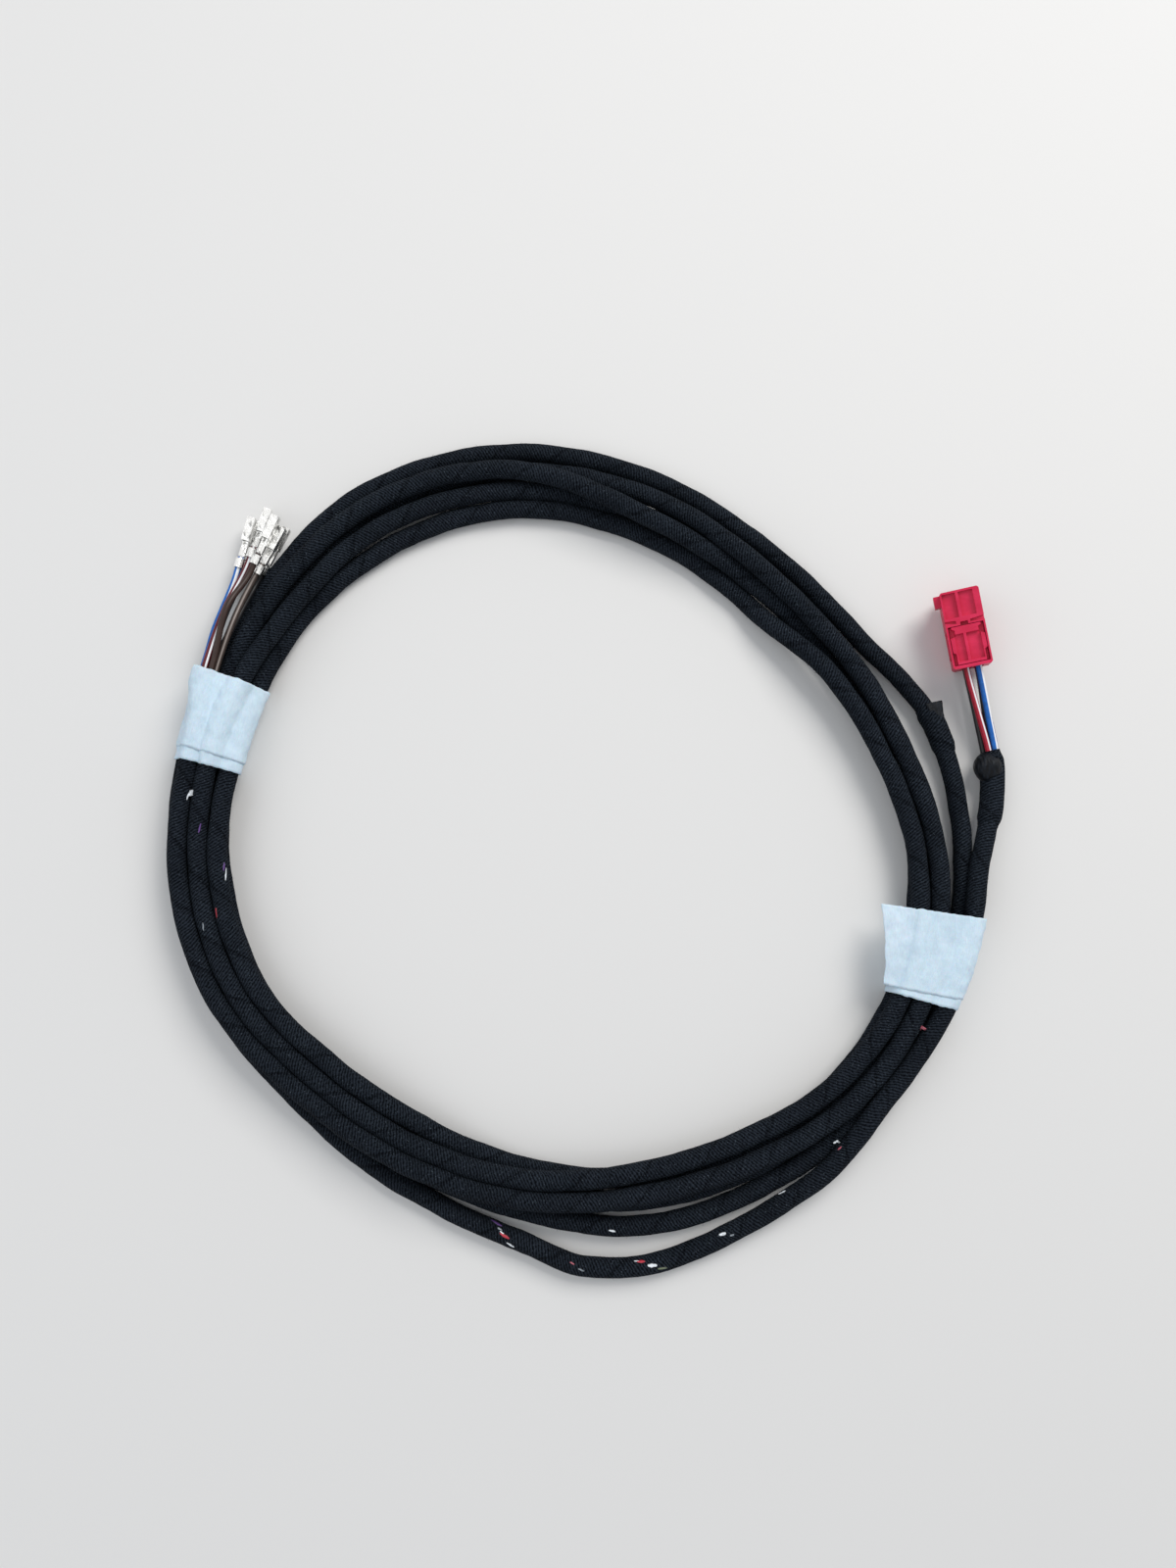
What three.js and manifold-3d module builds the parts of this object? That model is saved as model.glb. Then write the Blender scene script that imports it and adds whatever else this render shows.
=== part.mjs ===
// A small wiring harness, wound into a flat coil and held by two strips of paper tape.
// Millimetres, +Z up, standing on its lowest point, with the coil's middle near the origin.
import * as THREE from 'three';
import Module from 'manifold-3d';

// Driving dimensions of the loom and its wires
const LOOM_DIAMETER = 4.4;
const LOOM_SIDES = 10;
const LOOM_STEPS = 280;
const LOOM_FIRST_ANGLE = 9;
const LOOM_LAST_ANGLE = -2000;
const WIRE_DIAMETER = 1.45;
const WIRE_SIDES = 8;
const WIRE_STEPS = 13;
const WIRE_RING_RADIUS = 1.58;
const END_GAP_ANGLE = 0.45;
const COIL_CENTRE = new THREE.Vector2(-2.8, -4.9);

// Paper strips round the whole coil: the middle of each in degrees, and how far it lifts the loom
const LEFT_STRIP_ANGLE = -201.6;
const RIGHT_STRIP_ANGLE = -14.5;
const STRIP_HALF_SPAN = 6.3;
const STRIP_SHIFT = 1.0;
const STRIP_THICKNESS = 0.2;
const STRIP_CLEARANCE = 0.42;
const STRIP_LIFT = 0.83;
const STRIP_LIFT_SPREAD = 17;

// Cloth tape round the loom's own ends and its one splice
const WRAP_CLEARANCE = 0.45;
const WRAP_THICKNESS = 0.35;
const WRAP_FIRST_ANGLE = 5.2;
const WRAP_LAST_ANGLE = 15.3;
const WRAP_OVERRUN = 0.6;
const WRAP_SIDES = 12;
const WRAP_STEPS = 4;
const KNOB_RADIUS = 3.1;
const KNOB_CENTRE = new THREE.Vector3(97.7, 22.8, 3.7);
const SPLICE_FIRST_ANGLE = 16.8 - 360;
const SPLICE_LAST_ANGLE = 24.4 - 360;
const SPLICE_TAB_LENGTH = 5.2;
const SPLICE_TAB_THICKNESS = 0.45;
const SPLICE_TAB_WIDTH = 2.6;
const SPLICE_TAB_INSET = 0.8;
const SPLICE_TAB_OFFSET = new THREE.Vector3(-0.4, -2.6, 1.9);

// Free tail of the right strip: its torn edge and its root, as X and the lowest and highest Y
const TAIL_EDGE = { x: 69.6, low: -28.0, high: -10.8 };
const TAIL_ROOT = { x: 78.2, low: -27.6, high: -13.2 };
const TAIL_BASE = 5.2;
const TAIL_RISE = 0.2;
const TAIL_THICKNESS = 0.4;
const TAIL_STEP = 0.3;

// Connector: a block with three rows of two ways, and a lock that drops into its top.
// It lies on its left rear edge: rolled to the left, with its nose a little up.
const CONNECTOR_LENGTH = 18.5;
const CONNECTOR_WIDTH = 9;
const CONNECTOR_REAR = new THREE.Vector3(95.81, 47.78, 1.4);
const CONNECTOR_HEADING = 101.1;
const CONNECTOR_ROLL = -18;
const CONNECTOR_PITCH = 6;
const CAVITY_SIZE = 2.4;
const CAVITY_PITCH = 2.8;
const CAVITY_COLUMNS = [-0.5, 0.5];
const CAVITY_WALL = 0.25;
const CAVITY_FLOOR = 0.5;
const CAVITY_ROWS = [0, 1, 2].map((row) => CAVITY_FLOOR + CAVITY_SIZE / 2 + row * (CAVITY_SIZE + CAVITY_WALL));
const FRONT_WALL = 1.3;
const FRONT_WINDOW = 1.1;
const LOCK_BED_START = 0.75;
const LOCK_BED_END = 10.1;
const LOCK_BED_DEPTH = 1.9;
const LOCK_BED_HALF_WIDTH = 4.1;
const LOCK_BED_WALL = 0.3;
const CONNECTOR_HEIGHT = CAVITY_ROWS[2] + CAVITY_SIZE / 2 + LOCK_BED_WALL + LOCK_BED_DEPTH;
const FIT_GAP = 0.15;
const CORNER_CUT = 0.4;

// Recesses of the housing's top: along from and to, across from and to
const TOP_POCKETS = [[12.1, 18.0, 1.0, 4.1], [12.1, 18.0, -3.0, 0.3]];
const POCKET_DEPTH = 0.9;
const LATCH_HOLE = [9.9, 10.9, -0.7, 1.05];
const LATCH_HOLE_DEPTH = 1.4;
const SLITS = [
  [[10.6, 2.0], [11.3, 2.0], [11.6, 4.7], [11.1, 4.7]],
  [[10.5, -4.7], [11.5, -4.7], [11.1, -1.3], [10.5, -1.3]],
];
const SLIT_DEPTH = 0.8;
const GRIP = { start: 2.4, end: 9.4, low: 2.6, high: 6.6, depth: 0.5 };
const SIDE_KEY = { start: 15.3, end: 18.1, low: 5.4, high: 8.6, reach: 1.4 };

// Lock: half of its outline as along and across, its plate and its two pockets
const LOCK_HALF_OUTLINE = [[3.5, 3.3], [3.9, 3.95], [7.3, 3.95], [7.7, 2.75], [9.1, 2.75], [9.4, 3.4]];
const LOCK_PLATE = 0.5;
const LOCK_POCKETS = [[1.6, 8.1, 0.9, 2.95], [1.6, 8.1, -2.95, 0.2]];
const LOCK_POCKET_DEPTH = 0.8;

// Crimped contact, the same at both ends of the harness
const CONTACT_LENGTH = 13;
const CONTACT_SHEET = 0.25;
const CONTACT_SIDES = 12;
const SLEEVE_RADIUS = 1.1;
const SLEEVE_BORE = 0.84;
const SLEEVE_LENGTH = 2.3;
const SLEEVE_SETBACK = 0.2;
const STRIP_HALF_WIDTH = 0.55;
const CRIMP_START = 3.2;
const CRIMP_LENGTH = 2.2;
const CRIMP_RADIUS = 0.52;
const CRIMP_ASIDE = 0.36;
const CRIMP_CENTRE = 0.78;
const CRIMP_SIDES = 8;
const NECK_HALF_WIDTH = 0.7;
const NECK_HEIGHT = 1.0;
const NECK_WALL = 0.22;
const BOX_START = 7.1;
const BOX_WIDTH = 1.9;
const BOX_HEIGHT = 2.0;
const LANCE = { start: 1.2, end: 3.1, low: 0.8, high: 1.3, reach: 0.15, edge: 0.1 };
const SPRING = { start: 1.0, end: 1.2, halfWidth: 0.4, top: 0.55, sunk: 0.05 };
const CONTACT_IN_CAVITY = 2.4;
const CONTACT_OVER_FLOOR = 0.1;

// How a wire leaves the crimp end, and where plug wires run behind the connector
const WIRE_IN_CRIMP = CRIMP_START - 0.3;
const WIRE_BEHIND_CRIMP = 3;
const PLUG_WIRE_STRAIGHT = -2;
const PLUG_WIRE_MIDWAY = 0.5;

// Where the loom runs, turn by turn and clockwise, as angle, radius and height over the floor.
// Each row of stations starts at the right-hand side and follows one turn round.
const LOOM_TURNS = [
  [
    [15.4, 102.4, 3.2], [9, 99.9, 3.3], [0, 94.3, 5.5], [-10, 92.4, 6.3], [-20, 91.1, 6.2], [-40, 88.2, 6.9],
    [-50, 89.9, 5.2], [-60, 90.2, 3.4], [-70, 91.1, 2.4], [-80, 92.3, 2.2], [-90, 91.0, 2.2], [-100, 86.3, 2.2],
    [-120, 83.4, 2.2], [-140, 84.2, 2.2], [-160, 89.6, 2.2], [-180, 93.9, 2.2], [-200, 97.0, 2.2],
    [-220, 100.3, 2.2], [-240, 104.9, 2.2], [-260, 102.9, 2.2], [-280, 96.7, 2.2], [-300, 90.0, 2.2],
    [-320, 87.3, 2.6], [-340, 92.0, 3.0],
  ],
  [
    [0, 91.3, 2.3], [-20, 89.9, 2.2], [-40, 87.6, 2.2], [-60, 85.1, 2.2], [-80, 83.7, 2.2], [-100, 79.9, 2.2],
    [-120, 78.8, 2.2], [-140, 79.5, 2.2], [-160, 85.0, 2.2], [-180, 89.1, 2.2], [-200, 92.4, 4.2],
    [-220, 96.4, 7.0], [-240, 99.9, 6.5], [-260, 96.3, 7.6], [-280, 85.4, 7.4], [-300, 80.1, 4.6],
    [-310, 78.9, 3.4], [-320, 77.6, 2.2], [-340, 77.7, 2.2],
  ],
  [
    [0, 80.3, 2.2], [-20, 80.2, 2.2], [-40, 78.5, 2.2], [-60, 75.9, 2.2], [-80, 73.0, 2.2], [-100, 70.6, 2.2],
    [-120, 69.7, 4.9], [-140, 72.6, 6.7], [-160, 79.7, 6.7], [-180, 83.7, 6.7], [-200, 84.8, 6.3],
    [-220, 89.2, 2.2], [-240, 90.0, 2.2], [-260, 88.3, 2.2], [-280, 82.3, 2.2], [-300, 76.2, 2.2],
    [-310, 73.9, 4.4], [-320, 74.6, 6.6], [-340, 76.0, 6.7],
  ],
  [
    [0, 79.1, 6.7], [-20, 80.3, 6.7], [-40, 77.6, 6.7], [-60, 72.9, 6.7], [-80, 71.2, 6.7], [-100, 72.4, 6.7],
    [-120, 73.9, 7.0], [-140, 77.2, 6.7], [-160, 84.3, 6.7], [-180, 88.2, 6.7], [-200, 89.3, 8.7],
    [-220, 91.2, 6.7], [-240, 94.3, 5.2], [-260, 92.4, 4.0], [-280, 87.2, 2.2], [-300, 85.0, 2.2],
    [-320, 82.5, 2.2], [-340, 82.8, 2.2],
  ],
  [
    [0, 85.2, 2.2], [-20, 85.1, 2.2], [-40, 82.9, 2.2], [-60, 80.5, 2.2], [-80, 78.1, 2.2], [-100, 75.4, 2.2],
    [-120, 74.2, 2.2], [-140, 74.9, 2.2], [-160, 80.3, 2.2], [-180, 84.3, 2.2], [-200, 87.9, 2.2],
    [-220, 94.8, 2.2], [-240, 99.7, 2.2], [-260, 97.9, 2.2], [-280, 91.4, 4.6], [-300, 83.3, 8.2],
    [-320, 80.8, 6.7], [-340, 81.0, 6.7],
  ],
  [
    [0, 84.0, 6.7], [-20, 85.1, 6.7], [-40, 83.1, 6.7], [-60, 78.5, 6.7], [-80, 76.3, 6.7], [-100, 76.9, 6.6],
    [-120, 78.2, 7.6], [-140, 81.7, 6.7], [-160, 88.8, 6.7], [-180, 92.9, 6.7], [-200, 94.0, 8.6],
    [-209, 98.3, 8.5],
  ],
];

// Loose contacts at the coil's left: a point on the way, the crimp end, the tip and the place in the ring.
const LOOSE_CONTACTS = [
  { via: [-86.35, 54.55, 7.9], tail: [-82.5, 70.5, 4.3], tip: [-79.4, 83.6, 4.3], slot: 0 },
  { via: [-83.7, 59.6, 8.9], tail: [-79.7, 73.0, 4.5], tip: [-75.7, 85.1, 4.5], slot: 60 },
  { via: [-82.6, 58.5, 12.1], tail: [-77.5, 69.8, 9.4], tip: [-72.3, 82.5, 9.4], slot: 120 },
  { via: [-81.3, 56.3, 10.15], tail: [-77.3, 68.2, 6.9], tip: [-71.3, 80.2, 6.9], slot: 180 },
  { via: [-81.0, 57.0, 8.3], tail: [-76.8, 68.9, 4.4], tip: [-70.9, 81.1, 4.4], slot: 240 },
  { via: [-85.1, 57.6, 5.3], tail: [-82.1, 70.8, 1.4], tip: [-78.9, 84.0, 1.4], slot: 300 },
];

// Ways of the connector: column, row, and the place in the ring of wires.
const CONNECTOR_WAYS = [
  { column: 0.5, row: 1, slot: 180 },
  { column: 0.5, row: 2, slot: 120 },
  { column: -0.5, row: 2, slot: 60 },
  { column: 0.5, row: 0, slot: 240 },
  { column: -0.5, row: 0, slot: 300 },
  { column: -0.5, row: 1, slot: 0 },
];

const wasm = await Module();
wasm.setup();
const { Manifold, CrossSection } = wasm;

const MATERIALS = {
  cloth: new THREE.MeshStandardMaterial({ color: 0x16171b, roughness: 0.95 }),
  paper: new THREE.MeshStandardMaterial({ color: 0xdfe3ea, roughness: 0.8 }),
  housing: new THREE.MeshStandardMaterial({ color: 0xc8202a, roughness: 0.45 }),
  contact: new THREE.MeshStandardMaterial({ color: 0xc9c9c6, roughness: 0.3, metalness: 1 }),
};

const WIRE_COLOURS = [0x2b4fa8, 0x7c2026, 0x6a4630, 0x75665a, 0x1a1a1c, 0x7d8084];
const PLUG_WIRE_COLOURS = [0x1a1a1c, 0xb3242c, 0x2f55b0, 0x6a4630, 0x7d8084, 0x7a4f9a];

const radians = THREE.MathUtils.degToRad;

// How far the paper under the coil lifts the loom at an angle.
function stripLift(angle) {
  let lift = 0;
  for (const middle of [LEFT_STRIP_ANGLE, RIGHT_STRIP_ANGLE]) {
    const turn = THREE.MathUtils.euclideanModulo(angle - middle + 180, 360) - 180;
    lift += STRIP_LIFT * Math.exp(-((turn / STRIP_LIFT_SPREAD) ** 2));
  }
  return lift;
}

// All stations in one list, each turn 360 degrees further clockwise than the one before it.
function loomStations() {
  return LOOM_TURNS.flatMap((turn, count) =>
    turn.map(([angle, radius, height]) => ({ angle: angle - 360 * count, radius, height })),
  );
}

const STATIONS = loomStations();

// Slope of a station's value, from the stations on both sides of it, level where the value turns back.
function slopeAt(index, key) {
  const before = STATIONS[Math.max(index - 1, 0)];
  const after = STATIONS[Math.min(index + 1, STATIONS.length - 1)];
  const turnsBack = (STATIONS[index][key] - before[key]) * (after[key] - STATIONS[index][key]) <= 0;
  return turnsBack ? 0 : (after[key] - before[key]) / (after.angle - before.angle);
}

// A station's value at any angle, smooth through all of them.
function valueAt(angle, key) {
  const passed = STATIONS.filter((station) => station.angle > angle).length;
  const index = THREE.MathUtils.clamp(passed - 1, 0, STATIONS.length - 2);
  const start = STATIONS[index];
  const end = STATIONS[index + 1];
  const span = end.angle - start.angle;
  const t = THREE.MathUtils.clamp((angle - start.angle) / span, 0, 1);
  const startSlope = slopeAt(index, key) * span;
  const endSlope = slopeAt(index + 1, key) * span;
  const rise = end[key] - start[key];
  return (
    start[key] +
    t * startSlope +
    t * t * (3 * rise - 2 * startSlope - endSlope) +
    t * t * t * (startSlope + endSlope - 2 * rise)
  );
}

// A point beside the loom's middle line: outward along the radius, and up.
function loomPoint(angle, outward = 0, up = 0) {
  const radius = valueAt(angle, 'radius') + outward;
  const height = valueAt(angle, 'height') + stripLift(angle) + up;
  return new THREE.Vector3(radius * Math.cos(radians(angle)), radius * Math.sin(radians(angle)), height);
}

// The loom's middle line between two angles.
class LoomRoute extends THREE.Curve {
  constructor(first, last) {
    super();
    this.first = first;
    this.last = last;
  }

  getPoint(t, target = new THREE.Vector3()) {
    return target.copy(loomPoint(this.first + (this.last - this.first) * t));
  }
}

// A regular outline with its corners on a circle.
function ring(radius, sides) {
  const corners = [];
  for (let index = 0; index < sides; index += 1) {
    const angle = (2 * Math.PI * index) / sides;
    corners.push(new THREE.Vector2(radius * Math.cos(angle), radius * Math.sin(angle)));
  }
  return corners;
}

// A round solid along a route.
function tube(route, diameter, sides, steps) {
  const section = new THREE.Shape(ring(diameter / 2, sides));
  return new THREE.ExtrudeGeometry(section, { steps, extrudePath: route, bevelEnabled: false });
}

// A three.js geometry as a solid for the boolean steps.
function toSolid(geometry) {
  const places = geometry.getAttribute('position');
  const vertices = [];
  const numbers = new Map();
  const triangles = [];
  for (let index = 0; index < places.count; index += 1) {
    const corner = [places.getX(index), places.getY(index), places.getZ(index)];
    const key = corner.map((value) => value.toFixed(5)).join(' ');
    if (!numbers.has(key)) {
      numbers.set(key, numbers.size);
      vertices.push(...corner);
    }
    triangles.push(numbers.get(key));
  }
  const mesh = new wasm.Mesh({
    numProp: 3,
    vertProperties: new Float32Array(vertices),
    triVerts: new Uint32Array(triangles),
  });
  return new Manifold(mesh);
}

// A solid from the boolean steps as a three.js geometry.
function toGeometry(solid) {
  const mesh = solid.getMesh();
  const geometry = new THREE.BufferGeometry();
  geometry.setAttribute('position', new THREE.Float32BufferAttribute(mesh.vertProperties, 3));
  geometry.setIndex([...mesh.triVerts]);
  const flat = geometry.toNonIndexed();
  flat.computeVertexNormals();
  return flat;
}

// A box between two corners.
function box(low, high) {
  const size = high.map((value, index) => value - low[index]);
  return Manifold.cube(size).translate(low);
}

// A rod that lies along X from a start, round its own middle line.
function rod(start, length, radius, sides) {
  return Manifold.cylinder(length, radius, radius, sides).rotate([0, 90, 0]).translate(start);
}

// A crimped contact along X: the crimp end at zero, its floor at height zero.
function contactSolid() {
  const sleeve = rod([SLEEVE_SETBACK, 0, SLEEVE_RADIUS], SLEEVE_LENGTH, SLEEVE_RADIUS, CONTACT_SIDES);
  const bore = rod([-1, 0, SLEEVE_RADIUS], SLEEVE_LENGTH + 2, SLEEVE_BORE, CONTACT_SIDES);
  const strip = box([0, -STRIP_HALF_WIDTH, 0], [BOX_START + 0.2, STRIP_HALF_WIDTH, CONTACT_SHEET]);
  const crimpEnd = CRIMP_START + CRIMP_LENGTH;
  const leftFold = rod([CRIMP_START, CRIMP_ASIDE, CRIMP_CENTRE], CRIMP_LENGTH, CRIMP_RADIUS, CRIMP_SIDES);
  const rightFold = rod([CRIMP_START, -CRIMP_ASIDE, CRIMP_CENTRE], CRIMP_LENGTH, CRIMP_RADIUS, CRIMP_SIDES);
  const crimpFloor = box([CRIMP_START, -NECK_HALF_WIDTH, 0], [crimpEnd, NECK_HALF_WIDTH, CRIMP_CENTRE]);
  const neck = box([crimpEnd, -NECK_HALF_WIDTH, 0], [BOX_START + 0.1, NECK_HALF_WIDTH, NECK_HEIGHT]);
  const neckInside = NECK_HALF_WIDTH - NECK_WALL;
  const trough = box([crimpEnd + 0.3, -neckInside, CONTACT_SHEET], [BOX_START, neckInside, NECK_HEIGHT + 1]);
  const halfBox = BOX_WIDTH / 2;
  const shell = box([BOX_START, -halfBox, 0], [CONTACT_LENGTH, halfBox, BOX_HEIGHT]);
  const hollow = box(
    [BOX_START - 1, -halfBox + CONTACT_SHEET, CONTACT_SHEET],
    [CONTACT_LENGTH + 1, halfBox - CONTACT_SHEET, BOX_HEIGHT - CONTACT_SHEET],
  );
  const root = halfBox - LANCE.edge;
  const lanceStart = BOX_START + LANCE.start;
  const lanceEnd = BOX_START + LANCE.end;
  const lance = Manifold.hull([
    box([lanceStart, root, LANCE.low], [lanceStart + LANCE.edge, halfBox + LANCE.reach, LANCE.high]),
    box([lanceEnd - LANCE.edge, root, LANCE.low], [lanceEnd, halfBox, LANCE.high]),
  ]);
  const spring = box(
    [BOX_START + SPRING.start, -SPRING.halfWidth, CONTACT_SHEET - SPRING.sunk],
    [CONTACT_LENGTH - SPRING.end, SPRING.halfWidth, SPRING.top],
  );
  return sleeve
    .add(strip)
    .subtract(bore)
    .add(leftFold)
    .add(rightFold)
    .add(crimpFloor)
    .add(neck.subtract(trough))
    .add(shell.subtract(hollow))
    .add(lance)
    .add(spring);
}

// A vector's place on the connector, whose own X runs from its rear to its front.
function onConnector(along, across, up) {
  return new THREE.Vector3(along, across, up)
    .applyAxisAngle(new THREE.Vector3(1, 0, 0), radians(CONNECTOR_ROLL))
    .applyAxisAngle(new THREE.Vector3(0, 1, 0), radians(-CONNECTOR_PITCH))
    .applyAxisAngle(new THREE.Vector3(0, 0, 1), radians(CONNECTOR_HEADING))
    .add(CONNECTOR_REAR);
}

// A solid drawn on the connector's own axes, put where the connector lies.
function placeOnConnector(solid) {
  return solid
    .rotate([CONNECTOR_ROLL, -CONNECTOR_PITCH, CONNECTOR_HEADING])
    .translate(CONNECTOR_REAR.toArray());
}

// A recess in a top face, of a plan given as along from and to, across from and to.
function recess([start, end, right, left], depth) {
  return box([start, right, CONNECTOR_HEIGHT - depth], [end, left, CONNECTOR_HEIGHT + 1]);
}

// One way through the housing, with a small window in its front wall.
function housingWay(column, height) {
  const middle = column * CAVITY_PITCH;
  const half = CAVITY_SIZE / 2;
  const window = FRONT_WINDOW / 2;
  const end = CONNECTOR_LENGTH - FRONT_WALL;
  const cavity = box([-1, middle - half, height - half], [end, middle + half, height + half]);
  const windowLow = [end - 1, middle - window, height - window];
  return cavity.add(box(windowLow, [CONNECTOR_LENGTH + 1, middle + window, height + window]));
}

function connectorHousing() {
  const half = CONNECTOR_WIDTH / 2;
  const length = CONNECTOR_LENGTH;
  const outline = [
    [0, CORNER_CUT - half], [CORNER_CUT, -half], [length - CORNER_CUT, -half], [length, CORNER_CUT - half],
    [length, half - CORNER_CUT], [length - CORNER_CUT, half], [CORNER_CUT, half], [0, half - CORNER_CUT],
  ];
  let body = Manifold.extrude(new CrossSection([outline]), CONNECTOR_HEIGHT);
  for (const height of CAVITY_ROWS) {
    for (const column of CAVITY_COLUMNS) {
      body = body.subtract(housingWay(column, height));
    }
  }
  const bed = [LOCK_BED_START, LOCK_BED_END, -LOCK_BED_HALF_WIDTH, LOCK_BED_HALF_WIDTH];
  body = body.subtract(recess(bed, LOCK_BED_DEPTH)).subtract(recess(LATCH_HOLE, LATCH_HOLE_DEPTH));
  for (const pocket of TOP_POCKETS) {
    body = body.subtract(recess(pocket, POCKET_DEPTH));
  }
  for (const slit of SLITS) {
    const cutter = Manifold.extrude(new CrossSection([slit], 'Positive'), SLIT_DEPTH + 1);
    body = body.subtract(cutter.translate([0, 0, CONNECTOR_HEIGHT - SLIT_DEPTH]));
  }
  for (const side of [half - GRIP.depth, -half - 1 + GRIP.depth]) {
    body = body.subtract(box([GRIP.start, side, GRIP.low], [GRIP.end, side + 1, GRIP.high]));
  }
  const { start, end, low, high, reach } = SIDE_KEY;
  return placeOnConnector(body.add(box([start, half - 0.2, low], [end, half + reach, high])));
}

function connectorLock() {
  const start = LOCK_BED_START + FIT_GAP;
  const end = LOCK_BED_END - FIT_GAP;
  const half = LOCK_BED_HALF_WIDTH - FIT_GAP;
  const floor = CONNECTOR_HEIGHT - LOCK_BED_DEPTH + FIT_GAP;
  const left = [[start, LOCK_HALF_OUTLINE[0][1]], ...LOCK_HALF_OUTLINE, [end, LOCK_HALF_OUTLINE.at(-1)[1]]];
  const right = left.map(([along, across]) => [along, -across]);
  const plan = new CrossSection([[...right, ...left.reverse()]], 'Positive');
  let lock = box([start, -half, floor], [end, half, floor + LOCK_PLATE]);
  lock = lock.add(Manifold.extrude(plan, CONNECTOR_HEIGHT - floor).translate([0, 0, floor]));
  for (const pocket of LOCK_POCKETS) {
    lock = lock.subtract(recess(pocket, LOCK_POCKET_DEPTH));
  }
  return placeOnConnector(lock);
}

// Corners round every strand of the coil at one angle, a little outside the loom.
function strandCorners(angle, offset) {
  const corners = [];
  LOOM_TURNS.forEach((turn, count) => {
    const total = angle - 360 * count;
    const radius = LOOM_DIAMETER / 2 + offset;
    for (const corner of ring(radius, 10)) {
      corners.push(loomPoint(total, corner.x, corner.y).toArray());
    }
  });
  return corners;
}

// The hull round the coil over a short span of angles.
function bundleHull(middle, halfSpan, offset) {
  const corners = [];
  for (const step of [-1, -0.33, 0.33, 1]) {
    corners.push(...strandCorners(middle + step * halfSpan, offset));
  }
  return Manifold.hull(corners);
}

// Two rounds of paper strip, the second one a little to the side of the first.
function paperStrip(middle) {
  const hole = bundleHull(middle, STRIP_HALF_SPAN + STRIP_SHIFT + 0.6, STRIP_CLEARANCE);
  const first = bundleHull(middle + STRIP_SHIFT, STRIP_HALF_SPAN, STRIP_CLEARANCE + STRIP_THICKNESS);
  const second = bundleHull(middle - STRIP_SHIFT, STRIP_HALF_SPAN, STRIP_CLEARANCE + 2 * STRIP_THICKNESS);
  return { hole, shell: first.add(second).subtract(hole) };
}

function rightStrip() {
  const { hole, shell } = paperStrip(RIGHT_STRIP_ANGLE);
  const ends = [TAIL_EDGE, TAIL_ROOT].map(({ x, low, high }, index) => {
    const base = TAIL_BASE + index * TAIL_RISE;
    return box([x, low, base], [x + TAIL_STEP, high, base + TAIL_THICKNESS]);
  });
  return shell.add(Manifold.hull(ends).subtract(hole));
}

// A cloth wrap round the loom between two angles, and the longer bore that clears it.
function clothWrap(first, last) {
  const bore = LOOM_DIAMETER + 2 * WRAP_CLEARANCE;
  const outerRoute = new LoomRoute(first, last);
  const boreRoute = new LoomRoute(first - WRAP_OVERRUN, last + WRAP_OVERRUN);
  return {
    outer: toSolid(tube(outerRoute, bore + 2 * WRAP_THICKNESS, WRAP_SIDES, WRAP_STEPS)),
    bore: toSolid(tube(boreRoute, bore, WRAP_SIDES, WRAP_STEPS)),
  };
}

function endWrap() {
  const { outer, bore } = clothWrap(WRAP_FIRST_ANGLE, WRAP_LAST_ANGLE);
  const knob = Manifold.sphere(KNOB_RADIUS, WRAP_SIDES).translate(KNOB_CENTRE.toArray());
  return outer.add(knob).subtract(bore);
}

function spliceWrap() {
  const { outer, bore } = clothWrap(SPLICE_FIRST_ANGLE, SPLICE_LAST_ANGLE);
  const root = loomPoint(SPLICE_LAST_ANGLE - SPLICE_TAB_INSET).add(SPLICE_TAB_OFFSET);
  const size = [SPLICE_TAB_WIDTH, SPLICE_TAB_LENGTH, SPLICE_TAB_THICKNESS];
  return outer.add(Manifold.cube(size).translate(root.toArray())).subtract(bore);
}

// A place in the ring of six wires at an angle of the loom.
function slotPoint(angle, slot) {
  const outward = WIRE_RING_RADIUS * Math.cos(radians(slot));
  const up = WIRE_RING_RADIUS * Math.sin(radians(slot));
  return loomPoint(angle, outward, up);
}

// A wire through a few places on one smooth curve.
function wire(places) {
  return tube(new THREE.CatmullRomCurve3(places), WIRE_DIAMETER, WIRE_SIDES, WIRE_STEPS);
}

function looseWire({ via, tail, tip, slot }) {
  const end = new THREE.Vector3(...tail);
  const heading = new THREE.Vector3(...tip).sub(end).normalize();
  const exit = STATIONS[STATIONS.length - 1].angle;
  return wire([
    slotPoint(LOOM_LAST_ANGLE - END_GAP_ANGLE, slot),
    slotPoint((LOOM_LAST_ANGLE + exit) / 2, slot),
    slotPoint(exit, slot),
    new THREE.Vector3(...via),
    end.clone().addScaledVector(heading, -WIRE_BEHIND_CRIMP),
    end.clone().addScaledVector(heading, WIRE_IN_CRIMP),
  ]);
}

// The height of a plug contact's floor on the connector.
function contactBase(row) {
  return CAVITY_ROWS[row] - CAVITY_SIZE / 2 + CONTACT_OVER_FLOOR;
}

function plugWire({ column, row, slot }) {
  const across = column * CAVITY_PITCH;
  const height = contactBase(row) + SLEEVE_RADIUS;
  const start = LOOM_FIRST_ANGLE + END_GAP_ANGLE;
  const exit = slotPoint(WRAP_LAST_ANGLE, slot);
  const straight = onConnector(PLUG_WIRE_STRAIGHT, across, height);
  return wire([
    slotPoint(start, slot),
    slotPoint((start + WRAP_LAST_ANGLE) / 2, slot),
    exit,
    straight.clone().lerp(exit, PLUG_WIRE_MIDWAY),
    straight,
    onConnector(CONTACT_IN_CAVITY + WIRE_IN_CRIMP, across, height),
  ]);
}

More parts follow.
